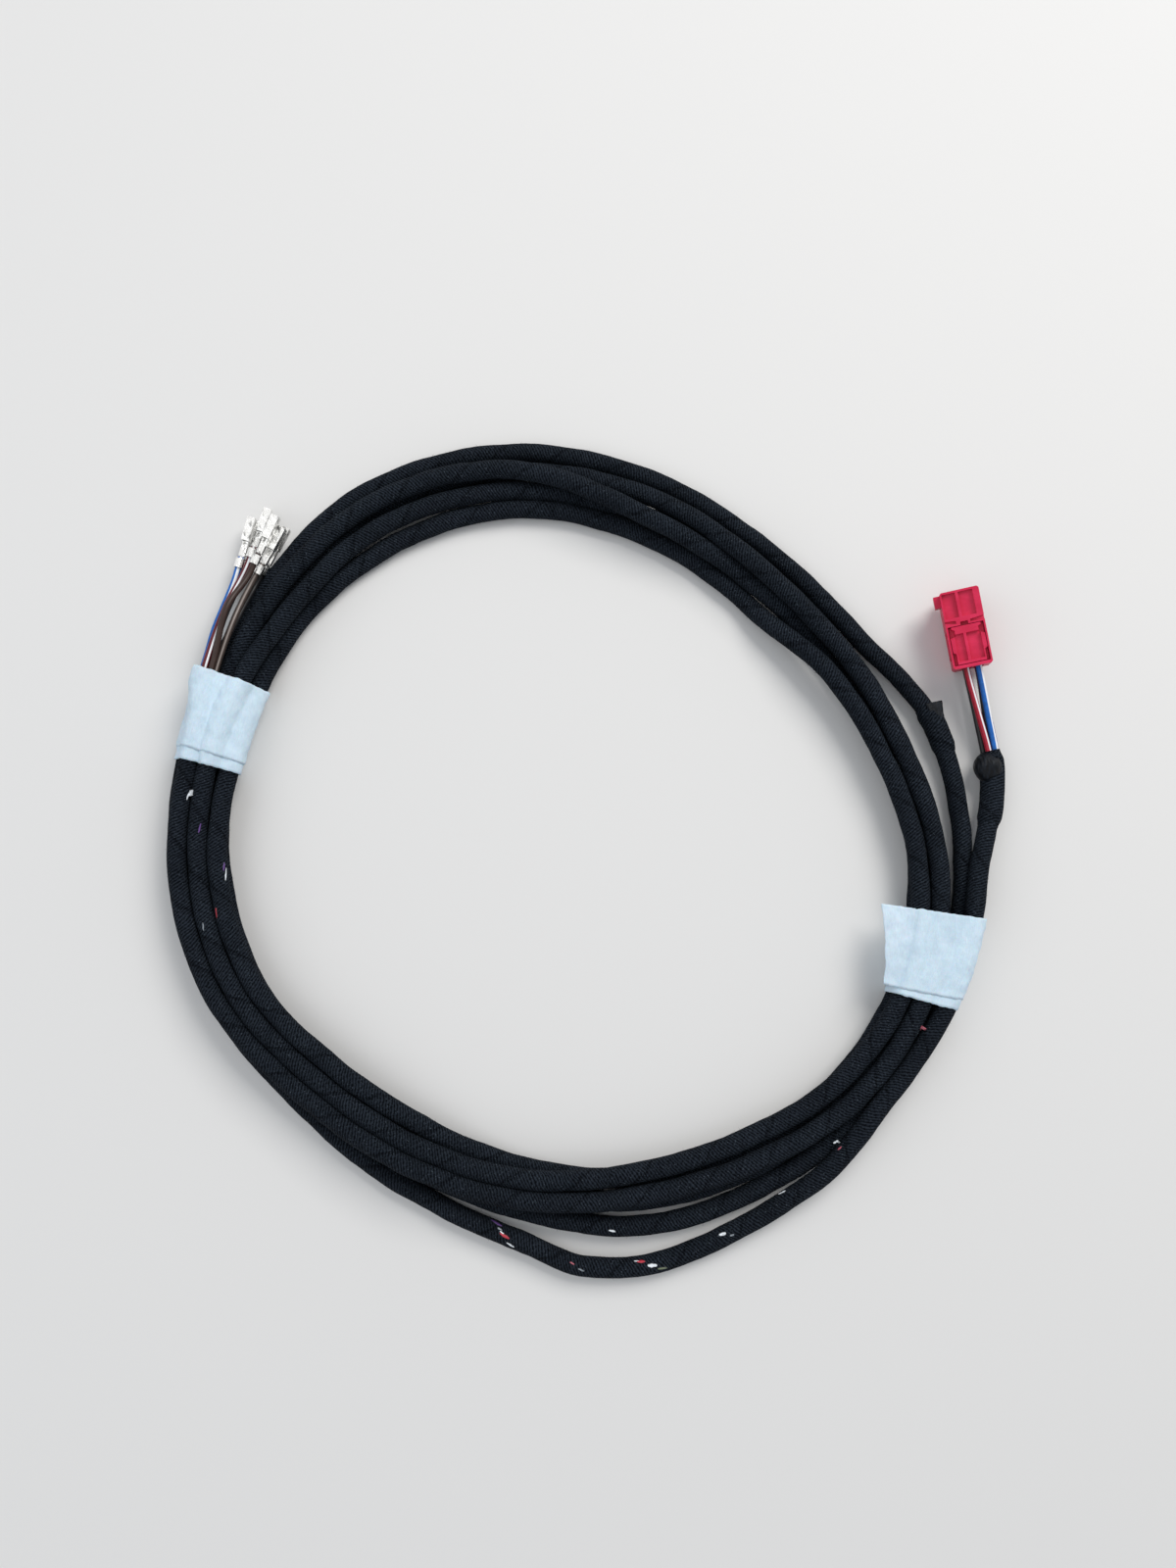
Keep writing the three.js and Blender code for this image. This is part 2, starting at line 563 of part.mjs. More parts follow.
// A loose contact turned from its crimp end towards its tip.
function looseContact({ tail, tip }) {
  const heading = Math.atan2(tip[1] - tail[1], tip[0] - tail[0]);
  const place = [tail[0], tail[1], tail[2] - SLEEVE_RADIUS];
  return contactSolid()
    .rotate([0, 0, THREE.MathUtils.radToDeg(heading)])
    .translate(place);
}

function plugContact({ column, row }) {
  return placeOnConnector(
    contactSolid().translate([CONTACT_IN_CAVITY, column * CAVITY_PITCH, contactBase(row)]),
  );
}

const harness = new THREE.Group();
harness.name = 'wiring_harness';

// Adds one named sub-part, moved so that the whole harness stands round the origin.
function addPart(name, shape, material) {
  const geometry = shape.isBufferGeometry ? shape : toGeometry(shape);
  geometry.translate(COIL_CENTRE.x, COIL_CENTRE.y, 0);
  const mesh = new THREE.Mesh(geometry, material);
  mesh.name = name;
  harness.add(mesh);
}

function wireMaterial(color) {
  return new THREE.MeshStandardMaterial({ color, roughness: 0.5 });
}

const loomRoute = new LoomRoute(LOOM_FIRST_ANGLE, LOOM_LAST_ANGLE);
addPart('loom', tube(loomRoute, LOOM_DIAMETER, LOOM_SIDES, LOOM_STEPS), MATERIALS.cloth);
addPart('end_wrap', endWrap(), MATERIALS.cloth);
addPart('splice_wrap', spliceWrap(), MATERIALS.cloth);
addPart('paper_strip_left', paperStrip(LEFT_STRIP_ANGLE).shell, MATERIALS.paper);
addPart('paper_strip_right', rightStrip(), MATERIALS.paper);
LOOSE_CONTACTS.forEach((contact, index) => {
  addPart(`loose_wire_${index + 1}`, looseWire(contact), wireMaterial(WIRE_COLOURS[index]));
  addPart(`loose_contact_${index + 1}`, looseContact(contact), MATERIALS.contact);
});
CONNECTOR_WAYS.forEach((way, index) => {
  addPart(`plug_wire_${index + 1}`, plugWire(way), wireMaterial(PLUG_WIRE_COLOURS[index]));
  addPart(`plug_contact_${index + 1}`, plugContact(way), MATERIALS.contact);
});
addPart('connector_housing', connectorHousing(), MATERIALS.housing);
addPart('connector_lock', connectorLock(), MATERIALS.housing);

export default harness;
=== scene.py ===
"""Dresses a coiled wiring harness: its taped loom, paper strips, plug and loose contacts.

Lengths in the size tables are in millimetres round the coil's own centre, as in the part's source.
Everything that is handed to Blender is in metres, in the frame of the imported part.
"""

import logging
import math
from dataclasses import dataclass, field, fields, replace
from enum import Enum
from typing import Iterable, Sequence

import bmesh
import bpy
from bpy.types import Material, Mesh, Node, NodeSocket, NodeTree, Object
from mathutils import Matrix, Vector, noise
from mathutils.bvhtree import BVHTree


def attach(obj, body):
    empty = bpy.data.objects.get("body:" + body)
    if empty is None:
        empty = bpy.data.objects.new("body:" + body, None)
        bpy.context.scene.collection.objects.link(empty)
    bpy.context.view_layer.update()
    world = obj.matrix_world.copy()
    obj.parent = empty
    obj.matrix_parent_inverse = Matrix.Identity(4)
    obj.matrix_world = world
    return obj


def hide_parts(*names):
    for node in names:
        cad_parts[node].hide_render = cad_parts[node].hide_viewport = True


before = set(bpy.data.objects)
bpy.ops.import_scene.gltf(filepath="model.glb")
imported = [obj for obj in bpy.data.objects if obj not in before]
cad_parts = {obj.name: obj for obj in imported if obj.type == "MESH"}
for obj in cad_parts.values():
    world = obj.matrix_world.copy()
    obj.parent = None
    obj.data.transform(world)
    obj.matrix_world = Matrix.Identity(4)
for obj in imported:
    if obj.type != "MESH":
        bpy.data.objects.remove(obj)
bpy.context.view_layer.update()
MM = 0.001
BODY = "root"
LOG = logging.getLogger("harness")
TAPE_LAY = 15.0 * MM

Pair = tuple[float, float]
Triple = tuple[float, float, float]


# Shader and geometry maths


class Signal:
    """One output socket of a node, with arithmetic that adds Math nodes."""

    def __init__(self, tree: NodeTree, socket: NodeSocket) -> None:
        """Wraps a socket of a node tree."""
        self.tree = tree
        self.socket = socket

    def math(self, operation: str, *values: "Signal | float") -> "Signal":
        """Adds one Math node.

        Args:
            operation: the node's operation, such as ADD.
            values: what goes into its inputs, in order.

        Returns:
            The node's result.
        """
        node = self.tree.nodes.new("ShaderNodeMath")
        node.operation = operation
        for socket, value in zip(node.inputs, values):
            feed(self.tree, socket, value)
        return Signal(self.tree, node.outputs[0])

    def __add__(self, other: "Signal | float") -> "Signal":
        """Sum."""
        return self.math("ADD", self, other)

    __radd__ = __add__

    def __sub__(self, other: "Signal | float") -> "Signal":
        """Difference."""
        return self.math("SUBTRACT", self, other)

    def __rsub__(self, other: "Signal | float") -> "Signal":
        """Difference with the number first."""
        return self.math("SUBTRACT", other, self)

    def __mul__(self, other: "Signal | float") -> "Signal":
        """Product."""
        return self.math("MULTIPLY", self, other)

    __rmul__ = __mul__

    def __truediv__(self, other: "Signal | float") -> "Signal":
        """Quotient."""
        return self.math("DIVIDE", self, other)

    def wave(self) -> "Signal":
        """A smooth wave from 0 to 1, once for each whole number."""
        return self.math("SINE", self * math.tau) * 0.5 + 0.5

    def fraction(self) -> "Signal":
        """What is left over the whole number."""
        return self.math("FRACT", self)

    def above(self, low: float, high: float) -> "Signal":
        """A smooth step.

        Args:
            low: where it is still 0.
            high: where it has become 1.

        Returns:
            The step.
        """
        node = self.tree.nodes.new("ShaderNodeMapRange")
        node.interpolation_type = "SMOOTHSTEP"
        for key, value in (("Value", self), ("From Min", low), ("From Max", high)):
            feed(self.tree, node.inputs[key], value)
        return Signal(self.tree, node.outputs[0])


def feed(tree: NodeTree, socket: NodeSocket, value: object) -> None:
    """Links a signal to a socket, or sets the socket's own value."""
    if isinstance(value, Signal):
        tree.links.new(value.socket, socket)
    else:
        socket.default_value = value


class Web:
    """Fills in a node tree, one node for each call."""

    def __init__(self, tree: NodeTree) -> None:
        """Starts on a tree."""
        self.tree = tree

    def add(
        self,
        kind: str,
        settings: dict | None = None,
        inputs: dict | None = None,
        output: int | str = 0,
    ) -> Signal:
        """Adds a node.

        Args:
            kind: the node's type.
            settings: its own settings, set first.
            inputs: values or signals by socket name or number.
            output: the socket to hand back.

        Returns:
            The chosen output.
        """
        node = self.tree.nodes.new(kind)
        for name, value in (settings or {}).items():
            setattr(node, name, value)
        for key, value in (inputs or {}).items():
            feed(self.tree, node.inputs[key], value)
        return Signal(self.tree, node.outputs[output])

    def mix(self, factor: Signal | float, low: object, high: object) -> Signal:
        """A colour between two colours."""
        return self.add("ShaderNodeMix", {"data_type": "RGBA"}, {0: factor, 6: low, 7: high}, 2)

    def noise(self, where: Signal, scale: float, detail: float = 2.0) -> Signal:
        """Cloudy noise from about 0 to 1 at a place."""
        inputs = {"Vector": where, "Scale": scale, "Detail": detail, "Roughness": 0.6}
        return self.add("ShaderNodeTexNoise", {}, inputs)

    def place(self) -> Signal:
        """The surface's place on its own object."""
        return self.add("ShaderNodeTexCoord", {}, {}, "Object")

    def spread(self) -> Signal:
        """The surface's place on the piece's own UV map."""
        return self.add("ShaderNodeUVMap", {"uv_map": "UVMap"}, {}, "UV")

    def along_and_round(self) -> tuple[Signal, Signal]:
        """How far along and round a swept piece the surface is.

        Returns:
            Metres along it, and turns round it.
        """
        parts = self.tree.nodes.new("ShaderNodeSeparateXYZ")
        feed(self.tree, parts.inputs[0], self.spread())
        return Signal(self.tree, parts.outputs[1]), Signal(self.tree, parts.outputs[0])

    def cloud(self, where: Signal, scale: Triple, detail: float, fineness: float = 1.0) -> Signal:
        """Noise that is drawn out, with its own scale on each axis.

        Args:
            where: the place on the surface.
            scale: the scale of each axis.
            detail: how many finer layers it has.
            fineness: a scale for all axes.

        Returns:
            The noise, from about 0 to 1.
        """
        drawn = self.add("ShaderNodeMapping", {}, {"Vector": where, "Scale": scale})
        return self.noise(drawn, fineness, detail)


def rgba(colour: Triple) -> tuple[float, float, float, float]:
    """A colour with full alpha."""
    return (*colour, 1.0)


def shaded(colour: Triple, share: float) -> Triple:
    """A darker colour, as a share of the one given."""
    return tuple(share * part for part in colour)


# Finishes


@dataclass(frozen=True)
class Finish:
    """A surface finish, made into a material once."""

    name: str
    slot: str

    def material(self) -> Material:
        """The finish's material.

        Returns:
            The material that already bears its name, or a new one.
        """
        known = bpy.data.materials.get(self.name)
        if known:
            return known
        made = bpy.data.materials.new(self.name)
        made.use_nodes = True
        self.dress(Web(made.node_tree), made.node_tree.nodes["Principled BSDF"])
        return made

    def dress(self, web: Web, shader: Node) -> None:
        """Fills in the shader; each finish has its own."""
        raise NotImplementedError

    @staticmethod
    def even(shader: Node, levels: dict[str, float]) -> None:
        """Sets what is the same all over the surface, on the shader's own sockets."""
        for label, level in levels.items():
            shader.inputs[label].default_value = level

    @staticmethod
    def paint(web: Web, shader: Node, colour: Signal, roughness: Signal) -> None:
        """Gives the shader a colour and a roughness that vary."""
        feed(web.tree, shader.inputs["Base Color"], colour)
        feed(web.tree, shader.inputs["Roughness"], roughness)

    @staticmethod
    def relief(web: Web, shader: Node, height: Signal, depth: float) -> None:
        """Gives the shader a bumpy surface of a depth in metres."""
        bump = web.add("ShaderNodeBump", {}, {"Height": height, "Distance": depth, "Strength": 1.0})
        feed(web.tree, shader.inputs["Normal"], bump)


@dataclass(frozen=True)
class FleeceTape(Finish):
    """Black cloth tape: twill ridges across the lay, lint, and the edge of each round, with painted shade in
    the twill valleys and along each round's edge.

    A grain is a noise's scale, so a larger one is finer.
    """

    valley_shade: Triple = (0.0006, 0.0012, 0.0024)
    thread: Triple = (0.0195, 0.0255, 0.035)
    lint: Triple = (0.13, 0.16, 0.19)
    lay: float = TAPE_LAY
    ridge_pitch: float = 0.74 * MM
    ridge_starts: int = 10
    stitch_pitch: float = 1.2 * MM
    stitch_starts: int = 8
    drift_grain: float = 380.0
    fuzz_grain: float = 2300.0
    patch_grain: float = 95.0
    speck_grain: float = 3700.0
    depth: float = 0.3 * MM
    specular: float = 0.06

    def dress(self, web: Web, shader: Node) -> None:
        """Twill, lint and tape edges over black, with shade painted darker into the low twill and along the
        tape edges.

        Args:
            web: adds the nodes.
            shader: the shader to fill in.
        """
        along, round_it = web.along_and_round()
        place = web.place()
        drift = web.noise(place, self.drift_grain, 3.0)
        ridges = (along / self.ridge_pitch - round_it * self.ridge_starts + drift * 1.7).wave()
        stitch = (along / self.stitch_pitch + round_it * self.stitch_starts + drift * 2.0).wave()
        fuzz = web.noise(place, self.fuzz_grain, 5.0)
        # Each round's edge is drawn lower: this bumps it, and through the colour below it paints shade along
        # the edge.
        edge = (along / self.lay + round_it + drift * 0.2).fraction()
        lip = edge.above(0.0, 0.05) * (1 - edge.above(0.9, 1.0))
        height = (ridges * 0.42 + stitch * 0.14 + fuzz * 0.95) * (0.78 + 0.22 * lip)
        patch = web.noise(place, self.patch_grain, 2.0)
        # Painted shade: where the twill and the tape edge are low, the colour goes to the near-black valley
        # shade; patch varies it at random.
        shade = height.above(0.42, 1.12) * (0.4 + 1.1 * patch)
        cloth = web.mix(shade, rgba(self.valley_shade), rgba(self.thread))
        specks = web.noise(place, self.speck_grain, 1.0).above(0.66, 0.76)
        self.paint(web, shader, web.mix(specks * 0.55, cloth, rgba(self.lint)), 0.98 - 0.2 * ridges)
        self.even(shader, {"Specular IOR Level": self.specular})
        self.relief(web, shader, height, self.depth)


@dataclass(frozen=True)
class WoundWad(FleeceTape):
    """The same tape where it is balled up: tighter, smoother and a little glossy."""

    thread: Triple = (0.010, 0.015, 0.023)
    crease_grain: Triple = (1500.0, 360.0, 700.0)
    fuzz_grain: float = 2600.0
    specular: float = 0.14

    def dress(self, web: Web, shader: Node) -> None:
        """Creases that run round the wad over black, painted darker in their hollows as shade.

        Args:
            web: adds the nodes.
            shader: the shader to fill in.
        """
        place = web.place()
        creases = web.cloud(place, self.crease_grain, 4.0, 1.2)
        height = creases + web.noise(place, self.fuzz_grain, 3.0) * 0.3
        # Painted shade: the crease hollows take the dark valley shade colour.
        colour = web.mix(height.above(0.5, 1.0), rgba(self.valley_shade), rgba(self.thread))
        self.paint(web, shader, colour, 0.6 - 0.35 * creases)
        self.even(shader, {"Specular IOR Level": self.specular})
        self.relief(web, shader, height, self.depth)


@dataclass(frozen=True)
class LintFibre(Finish):
    """Loose fibres of the tape."""

    dark: Triple = (0.003, 0.005, 0.008)
    light: Triple = (0.034, 0.046, 0.062)
    grain: float = 800.0

    def dress(self, web: Web, shader: Node) -> None:
        """Dark grey that varies from fibre to fibre.

        Args:
            web: adds the nodes.
            shader: the shader to fill in.
        """
        tint = web.noise(web.place(), self.grain, 2.0)
        colour = web.mix(tint.above(0.4, 0.7), rgba(self.dark), rgba(self.light))
        feed(web.tree, shader.inputs["Base Color"], colour)
        self.even(shader, {"Roughness": 0.9, "Specular IOR Level": 0.1})


@dataclass(frozen=True)
class PeekPaint(Finish):
    """Bits of coloured insulation, each in the colour kept on it, with painted shade at the slit edges and
    inside the slit.
    """

    grime: Triple = (0.01, 0.012, 0.016)
    grime_grain: float = 2400.0

    def dress(self, web: Web, shader: Node) -> None:
        """The kept colour, which holds painted shade, with a little grime.

        Args:
            web: adds the nodes.
            shader: the shader to fill in.
        """
        tone = web.add("ShaderNodeAttribute", {"attribute_name": "tone"}, {}, "Color")
        grime = web.noise(web.place(), self.grime_grain, 3.0)
        dark = web.mix(0.6, tone, rgba(self.grime))
        self.paint(web, shader, web.mix(grime.above(0.5, 0.75), tone, dark), 0.3 + 0.2 * grime)


@dataclass(frozen=True)
class CrepePaper(Finish):
    """Creped paper tape, bluish white, with crinkles across its length."""

    pale: Triple = (0.62, 0.745, 0.835)
    dull_and_shade: Triple = (0.48, 0.60, 0.69)
    crinkle_grain: Triple = (2300.0, 520.0, 1.0)
    cloud_grain: float = 260.0
    fibre_grain: float = 1500.0
    depth: float = 0.16 * MM
    glow_depth: float = 0.6 * MM

    def dress(self, web: Web, shader: Node) -> None:
        """Crinkles and cloudy fibres over bluish white, with painted shade in the crinkle hollows.

        Args:
            web: adds the nodes.
            shader: the shader to fill in.
        """
        place = web.place()
        crinkles = web.cloud(web.spread(), self.crinkle_grain, 4.0)
        clouds = web.noise(place, self.cloud_grain, 4.0)
        fibres = web.noise(place, self.fibre_grain, 3.0)
        # The darker colour comes from random cloud and fibre tone, and from painted shade where the crinkles
        # are low.
        shade = (clouds * 0.7 + crinkles * 0.45 + fibres * 0.2).above(0.4, 0.95)
        self.paint(web, shader, web.mix(shade, rgba(self.dull_and_shade), rgba(self.pale)), 0.62 + 0.3 * fibres)
        self.even(
            shader,
            {"Specular IOR Level": 0.35, "Subsurface Weight": 0.12, "Subsurface Scale": self.glow_depth},
        )
        self.relief(web, shader, crinkles * 0.8 + fibres * 0.25, self.depth)


@dataclass(frozen=True)
class MouldedPlastic(Finish):
    """Moulded plastic with the fine grain of a spark-cut mould."""

    colour: Triple = (0.54, 0.004, 0.048)
    light: Triple = (0.68, 0.018, 0.085)
    mould_grain: float = 5200.0
    flow_grain: Triple = (160.0, 420.0, 300.0)
    depth: float = 0.04 * MM

    def dress(self, web: Web, shader: Node) -> None:
        """Grain and faint flow marks over the colour.

        Args:
            web: adds the nodes.
            shader: the shader to fill in.
        """
        place = web.place()
        grain = web.noise(place, self.mould_grain, 3.0)
        flow = web.cloud(place, self.flow_grain, 3.0)
        shade = (grain * 0.4 + flow * 0.6).above(0.38, 0.72)
        self.paint(web, shader, web.mix(shade, rgba(self.colour), rgba(self.light)), 0.34 + 0.24 * grain)
        self.even(shader, {"Specular IOR Level": 0.35})
        self.relief(web, shader, grain * 0.6 + flow * 0.2, self.depth)


@dataclass(frozen=True)
class TinnedMetal(Finish):
    """Tin-plated strip, satin, with drawn lines and a few dark patches of painted shade and dark reflections.
    """

    bright: Triple = (0.95, 0.95, 0.94)
    dull_and_shade: Triple = (0.16, 0.16, 0.155)
    line_grain: Triple = (5200.0, 900.0, 5200.0)
    shade_patch_grain: Triple = (1100.0, 420.0, 1100.0)
    depth: float = 0.12 * MM

    def dress(self, web: Web, shader: Node) -> None:
        """Drawn lines over bright metal, with dark patches painted in as shade and dark reflections.

        Args:
            web: adds the nodes.
            shader: the shader to fill in.
        """
        place = web.place()
        lines = web.cloud(place, self.line_grain, 3.0)
        shade_patches = web.cloud(place, self.shade_patch_grain, 3.0)
        # Painted shade and dark reflections: dark patches mixed into the bright metal colour.
        colour = web.mix(shade_patches.above(0.5, 0.72), rgba(self.bright), rgba(self.dull_and_shade))
        self.paint(web, shader, colour, 0.08 + 0.14 * lines + 0.12 * shade_patches)
        self.even(shader, {"Metallic": 1.0})
        self.relief(web, shader, lines * 0.3 + shade_patches, self.depth)


@dataclass(frozen=True)
class Insulation(Finish):
    """Wire insulation, with a tracer stripe along it where it has one.

    The stripe's middle, width and soft edge are in turns round the wire, and its twist in turns a metre.
    """

    colour: Triple
    tracer: Triple | None = None
    tracer_middle: float = 0.25
    tracer_width: float = 0.2
    tracer_edge: float = 0.012
    tracer_twist: float = 2.0
    grime_grain: float = 900.0
    grime_shade: float = 0.72
    depth: float = 0.02 * MM

    def dress(self, web: Web, shader: Node) -> None:
        """The stripe and a little grime over the colour.

        Args:
            web: adds the nodes.
            shader: the shader to fill in.
        """
        along, round_it = web.along_and_round()
        grime = web.noise(web.place(), self.grime_grain, 3.0)
        grimy = shaded(self.colour, self.grime_shade)
        colour = web.mix(grime.above(0.3, 0.7), rgba(self.colour), rgba(grimy))
        if self.tracer:
            turn = (round_it - self.tracer_middle + along * self.tracer_twist + 0.5).fraction() - 0.5
            half = self.tracer_width / 2
            stripe = 1 - turn.math("ABSOLUTE", turn).above(half - self.tracer_edge, half + self.tracer_edge)
            colour = web.mix(stripe, colour, rgba(self.tracer))
        self.paint(web, shader, colour, 0.34 + 0.16 * grime)
        self.even(shader, {"Specular IOR Level": 0.3})
        self.relief(web, shader, grime, self.depth)


@dataclass(frozen=True)
class PlainFloor(Finish):
    """The pale floor: it shows one flat tone where no shadow falls."""

    colour: Triple = (0.70, 0.69, 0.675)

    def dress(self, web: Web, shader: Node) -> None:
        """A dull, even tone."""
        shader.inputs["Base Color"].default_value = rgba(self.colour)
        self.even(shader, {"Roughness": 1.0, "Specular IOR Level": 0.0})


CLOTH = FleeceTape("fleece_tape", "cloth_tape")
WAD = WoundWad("fleece_tape_wad", "cloth_tape")
LINT = LintFibre("tape_fibres", "cloth_tape")
PEEK_PAINT = PeekPaint("wire_peeks", "wire_grey")
PAPER = CrepePaper("creped_paper", "paper_tape")
RED_PLASTIC = MouldedPlastic("red_plastic_satin", "red_plastic")
TINNED = TinnedMetal("tinned_strip", "tinned_metal")
WHITE = (0.80, 0.82, 0.84)
BLUE_WHITE = Insulation("insulation_blue_white", "wire_blue", (0.008, 0.13, 0.48), WHITE, 0.9, 0.15)
DARK_RED_WHITE = Insulation("insulation_dark_red_white", "wire_red", (0.12, 0.010, 0.018), WHITE, 0.87, 0.1)
RED_WHITE = Insulation("insulation_red_white", "wire_red", (0.40, 0.008, 0.03), WHITE, 0.84, 0.1)
BROWN = Insulation("insulation_brown", "wire_brown", (0.038, 0.020, 0.016))
TAUPE = Insulation("insulation_taupe", "wire_taupe", (0.060, 0.044, 0.038), (0.26, 0.22, 0.20), 0.84, 0.09)
BLACK = Insulation("insulation_black", "wire_black", (0.012, 0.012, 0.014))
GREY = Insulation("insulation_grey", "wire_grey", (0.13, 0.135, 0.14))
VIOLET_WHITE = Insulation("insulation_violet_white", "wire_violet", (0.10, 0.03, 0.19), WHITE, 0.82, 0.14)


# Geometry Nodes trees


class Tree(Web):
    """A Geometry Nodes tree with named inputs and one geometry output."""

    def __init__(self, name: str, measures: Sequence[str], counts: Sequence[str]) -> None:
        """Opens a tree that also has the inputs Geometry and Finish.

        Args:
            name: the tree's name.
            measures: the names of its inputs that are plain numbers.
            counts: the names of its inputs that are whole numbers.
        """
        super().__init__(bpy.data.node_groups.new(name, "GeometryNodeTree"))
        sockets = [("Geometry", "INPUT", "NodeSocketGeometry")]
        sockets += [(label, "INPUT", "NodeSocketFloat") for label in measures]
        sockets += [(label, "INPUT", "NodeSocketInt") for label in counts]
        sockets += [("Finish", "INPUT", "NodeSocketMaterial"), ("Geometry", "OUTPUT", "NodeSocketGeometry")]
        for label, way, kind in sockets:
            self.tree.interface.new_socket(label, in_out=way, socket_type=kind)
        self.entry = self.tree.nodes.new("NodeGroupInput")

    def size(self, name: str) -> Signal:
        """One of the tree's named inputs."""
        return Signal(self.tree, self.entry.outputs[name])

    def close(self, geometry: Signal) -> NodeTree:
        """Ends the tree in Realize Instances and Set Material.

        Args:
            geometry: what the tree has made.

        Returns:
            The finished tree.
        """
        real = self.add("GeometryNodeRealizeInstances", {}, {0: geometry})
        dressed = self.add("GeometryNodeSetMaterial", {}, {"Geometry": real, "Material": self.size("Finish")})
        out = self.tree.nodes.new("NodeGroupOutput")
        feed(self.tree, out.inputs[0], dressed)
        return self.tree

    def store(self, geometry: Signal, name: str, kind: str, domain: str, value: Signal) -> Signal:
        """Keeps a value on the geometry as a named attribute."""
        return self.add(
            "GeometryNodeStoreNamedAttribute",
            {"data_type": kind, "domain": domain},
            {"Geometry": geometry, "Name": name, "Value": value},
        )

    def named(self, name: str, kind: str = "FLOAT") -> Signal:
        """A value that was kept on the geometry."""
        return self.add("GeometryNodeInputNamedAttribute", {"data_type": kind}, {"Name": name})


TAPER_LENGTH = 2.2 * MM
TAPER_RAG = 2.5 * MM
SEAM_GAP = 0.01 * MM
FIBRE_SCALES = (0.35, 1.2)


def sweep_tree() -> NodeTree:
    """The tree that sweeps a round section along a line of points.

    Returns:
        A tree with inputs Diameter, Sides, Lay, Swell, Unevenness, Taper, Grain, Seed and Finish.
    """
    measures = ("Diameter", "Lay", "Swell", "Unevenness", "Taper", "Grain", "Seed")
    tree = Tree("taped_tube", measures, ("Sides",))
    line = tree.add("GeometryNodeMeshToCurve", {}, {0: tree.size("Geometry")})
    level = tree.add("GeometryNodeSetCurveNormal", {"mode": "Z_UP"}, {0: line})
    length = tree.add("GeometryNodeSplineParameter", {}, {}, "Length")
    measured = tree.store(level, "along", "FLOAT", "POINT", length)
    here = tree.add("GeometryNodeInputPosition")
    route = tree.store(measured, "middle", "FLOAT_VECTOR", "POINT", here)
    arc = tree.add(
        "GeometryNodeCurveArc",
        {"mode": "RADIUS"},
        {
            "Resolution": tree.size("Sides"),
            "Radius": tree.size("Diameter") * 0.5,
            "Start Angle": 0.0,
            "Sweep Angle": math.tau,
        },
    )
    factor = tree.add("GeometryNodeSplineParameter", {}, {}, "Factor")
    section = tree.store(arc, "around", "FLOAT", "POINT", factor)
    tube = tree.add("GeometryNodeCurveToMesh", {}, {0: route, 1: section})
    along, around = tree.named("along"), tree.named("around")
    spread = tree.add("ShaderNodeCombineXYZ", {}, {0: around, 1: along})
    mapped = tree.store(tube, "UVMap", "FLOAT2", "CORNER", spread)
    rounds = (along / tree.size("Lay") + around).wave()
    cloud = tree.add(
        "ShaderNodeTexNoise",
        {"noise_dimensions": "4D"},
        {"Scale": tree.size("Grain"), "W": tree.size("Seed"), "Detail": 2.0},
    )
    whole = tree.add("GeometryNodeCurveLength", {}, {0: level})
    inset = along.math("MINIMUM", along, whole - along) + (cloud - 0.5) * TAPER_RAG
    lift = rounds * tree.size("Swell") + (cloud - 0.5) * tree.size("Unevenness")
    lift = lift - tree.size("Taper") * (1 - inset.above(0.0, TAPER_LENGTH))
    middle = tree.named("middle", "FLOAT_VECTOR")
    outward = tree.add("ShaderNodeVectorMath", {"operation": "SUBTRACT"}, {0: here, 1: middle})
    unit = tree.add("ShaderNodeVectorMath", {"operation": "NORMALIZE"}, {0: outward})
    offset = tree.add("ShaderNodeVectorMath", {"operation": "SCALE"}, {0: unit, "Scale": lift})
    moved = tree.add("GeometryNodeSetPosition", {}, {"Geometry": mapped, "Offset": offset})
    closed = tree.add("GeometryNodeMergeByDistance", {}, {"Geometry": moved, "Distance": SEAM_GAP})
    smooth = tree.add("GeometryNodeSetShadeSmooth", {}, {"Geometry": closed})
    return tree.close(smooth)


def lint_tree() -> NodeTree:
    """The tree that strews short fibres over a surface.

    Returns:
        A tree with inputs Density, Fibre Length, Fibre Width, Lean, Seed and Finish.
    """
    tree = Tree("tape_lint", ("Density", "Fibre Length", "Fibre Width", "Lean"), ("Seed",))
    scatter = tree.tree.nodes.new("GeometryNodeDistributePointsOnFaces")
    for key, name in (("Mesh", "Geometry"), ("Density", "Density"), ("Seed", "Seed")):
        feed(tree.tree, scatter.inputs[key], tree.size(name))
    points, rotation = (Signal(tree.tree, scatter.outputs[key]) for key in ("Points", "Rotation"))
    fibre = tree.add(
        "GeometryNodeMeshCone",
        {"fill_type": "NONE"},
        {
            "Vertices": 3,
            "Side Segments": 1,
            "Radius Top": 0.0,
            "Radius Bottom": tree.size("Fibre Width") * 0.5,
            "Depth": tree.size("Fibre Length"),
        },
        "Mesh",
    )
    lean, seed = tree.size("Lean"), tree.size("Seed")
    least = tree.add("ShaderNodeCombineXYZ", {}, {0: lean * -1.0, 1: lean * -1.0, 2: -math.pi})
    most = tree.add("ShaderNodeCombineXYZ", {}, {0: lean, 1: lean, 2: math.pi})
    limits = {"Min": least, "Max": most, "Seed": seed}
    spin = tree.add("FunctionNodeRandomValue", {"data_type": "FLOAT_VECTOR"}, limits, "Value")
    turned = {"Rotation": rotation, "Rotate By": spin}
    leaning = tree.add("FunctionNodeRotateRotation", {"rotation_space": "LOCAL"}, turned)
    limits = {2: FIBRE_SCALES[0], 3: FIBRE_SCALES[1], "Seed": seed}
    scale = tree.add("FunctionNodeRandomValue", {"data_type": "FLOAT"}, limits, 1)
    placing = {"Points": points, "Instance": fibre, "Rotation": leaning, "Scale": scale}
    return tree.close(tree.add("GeometryNodeInstanceOnPoints", {}, placing))


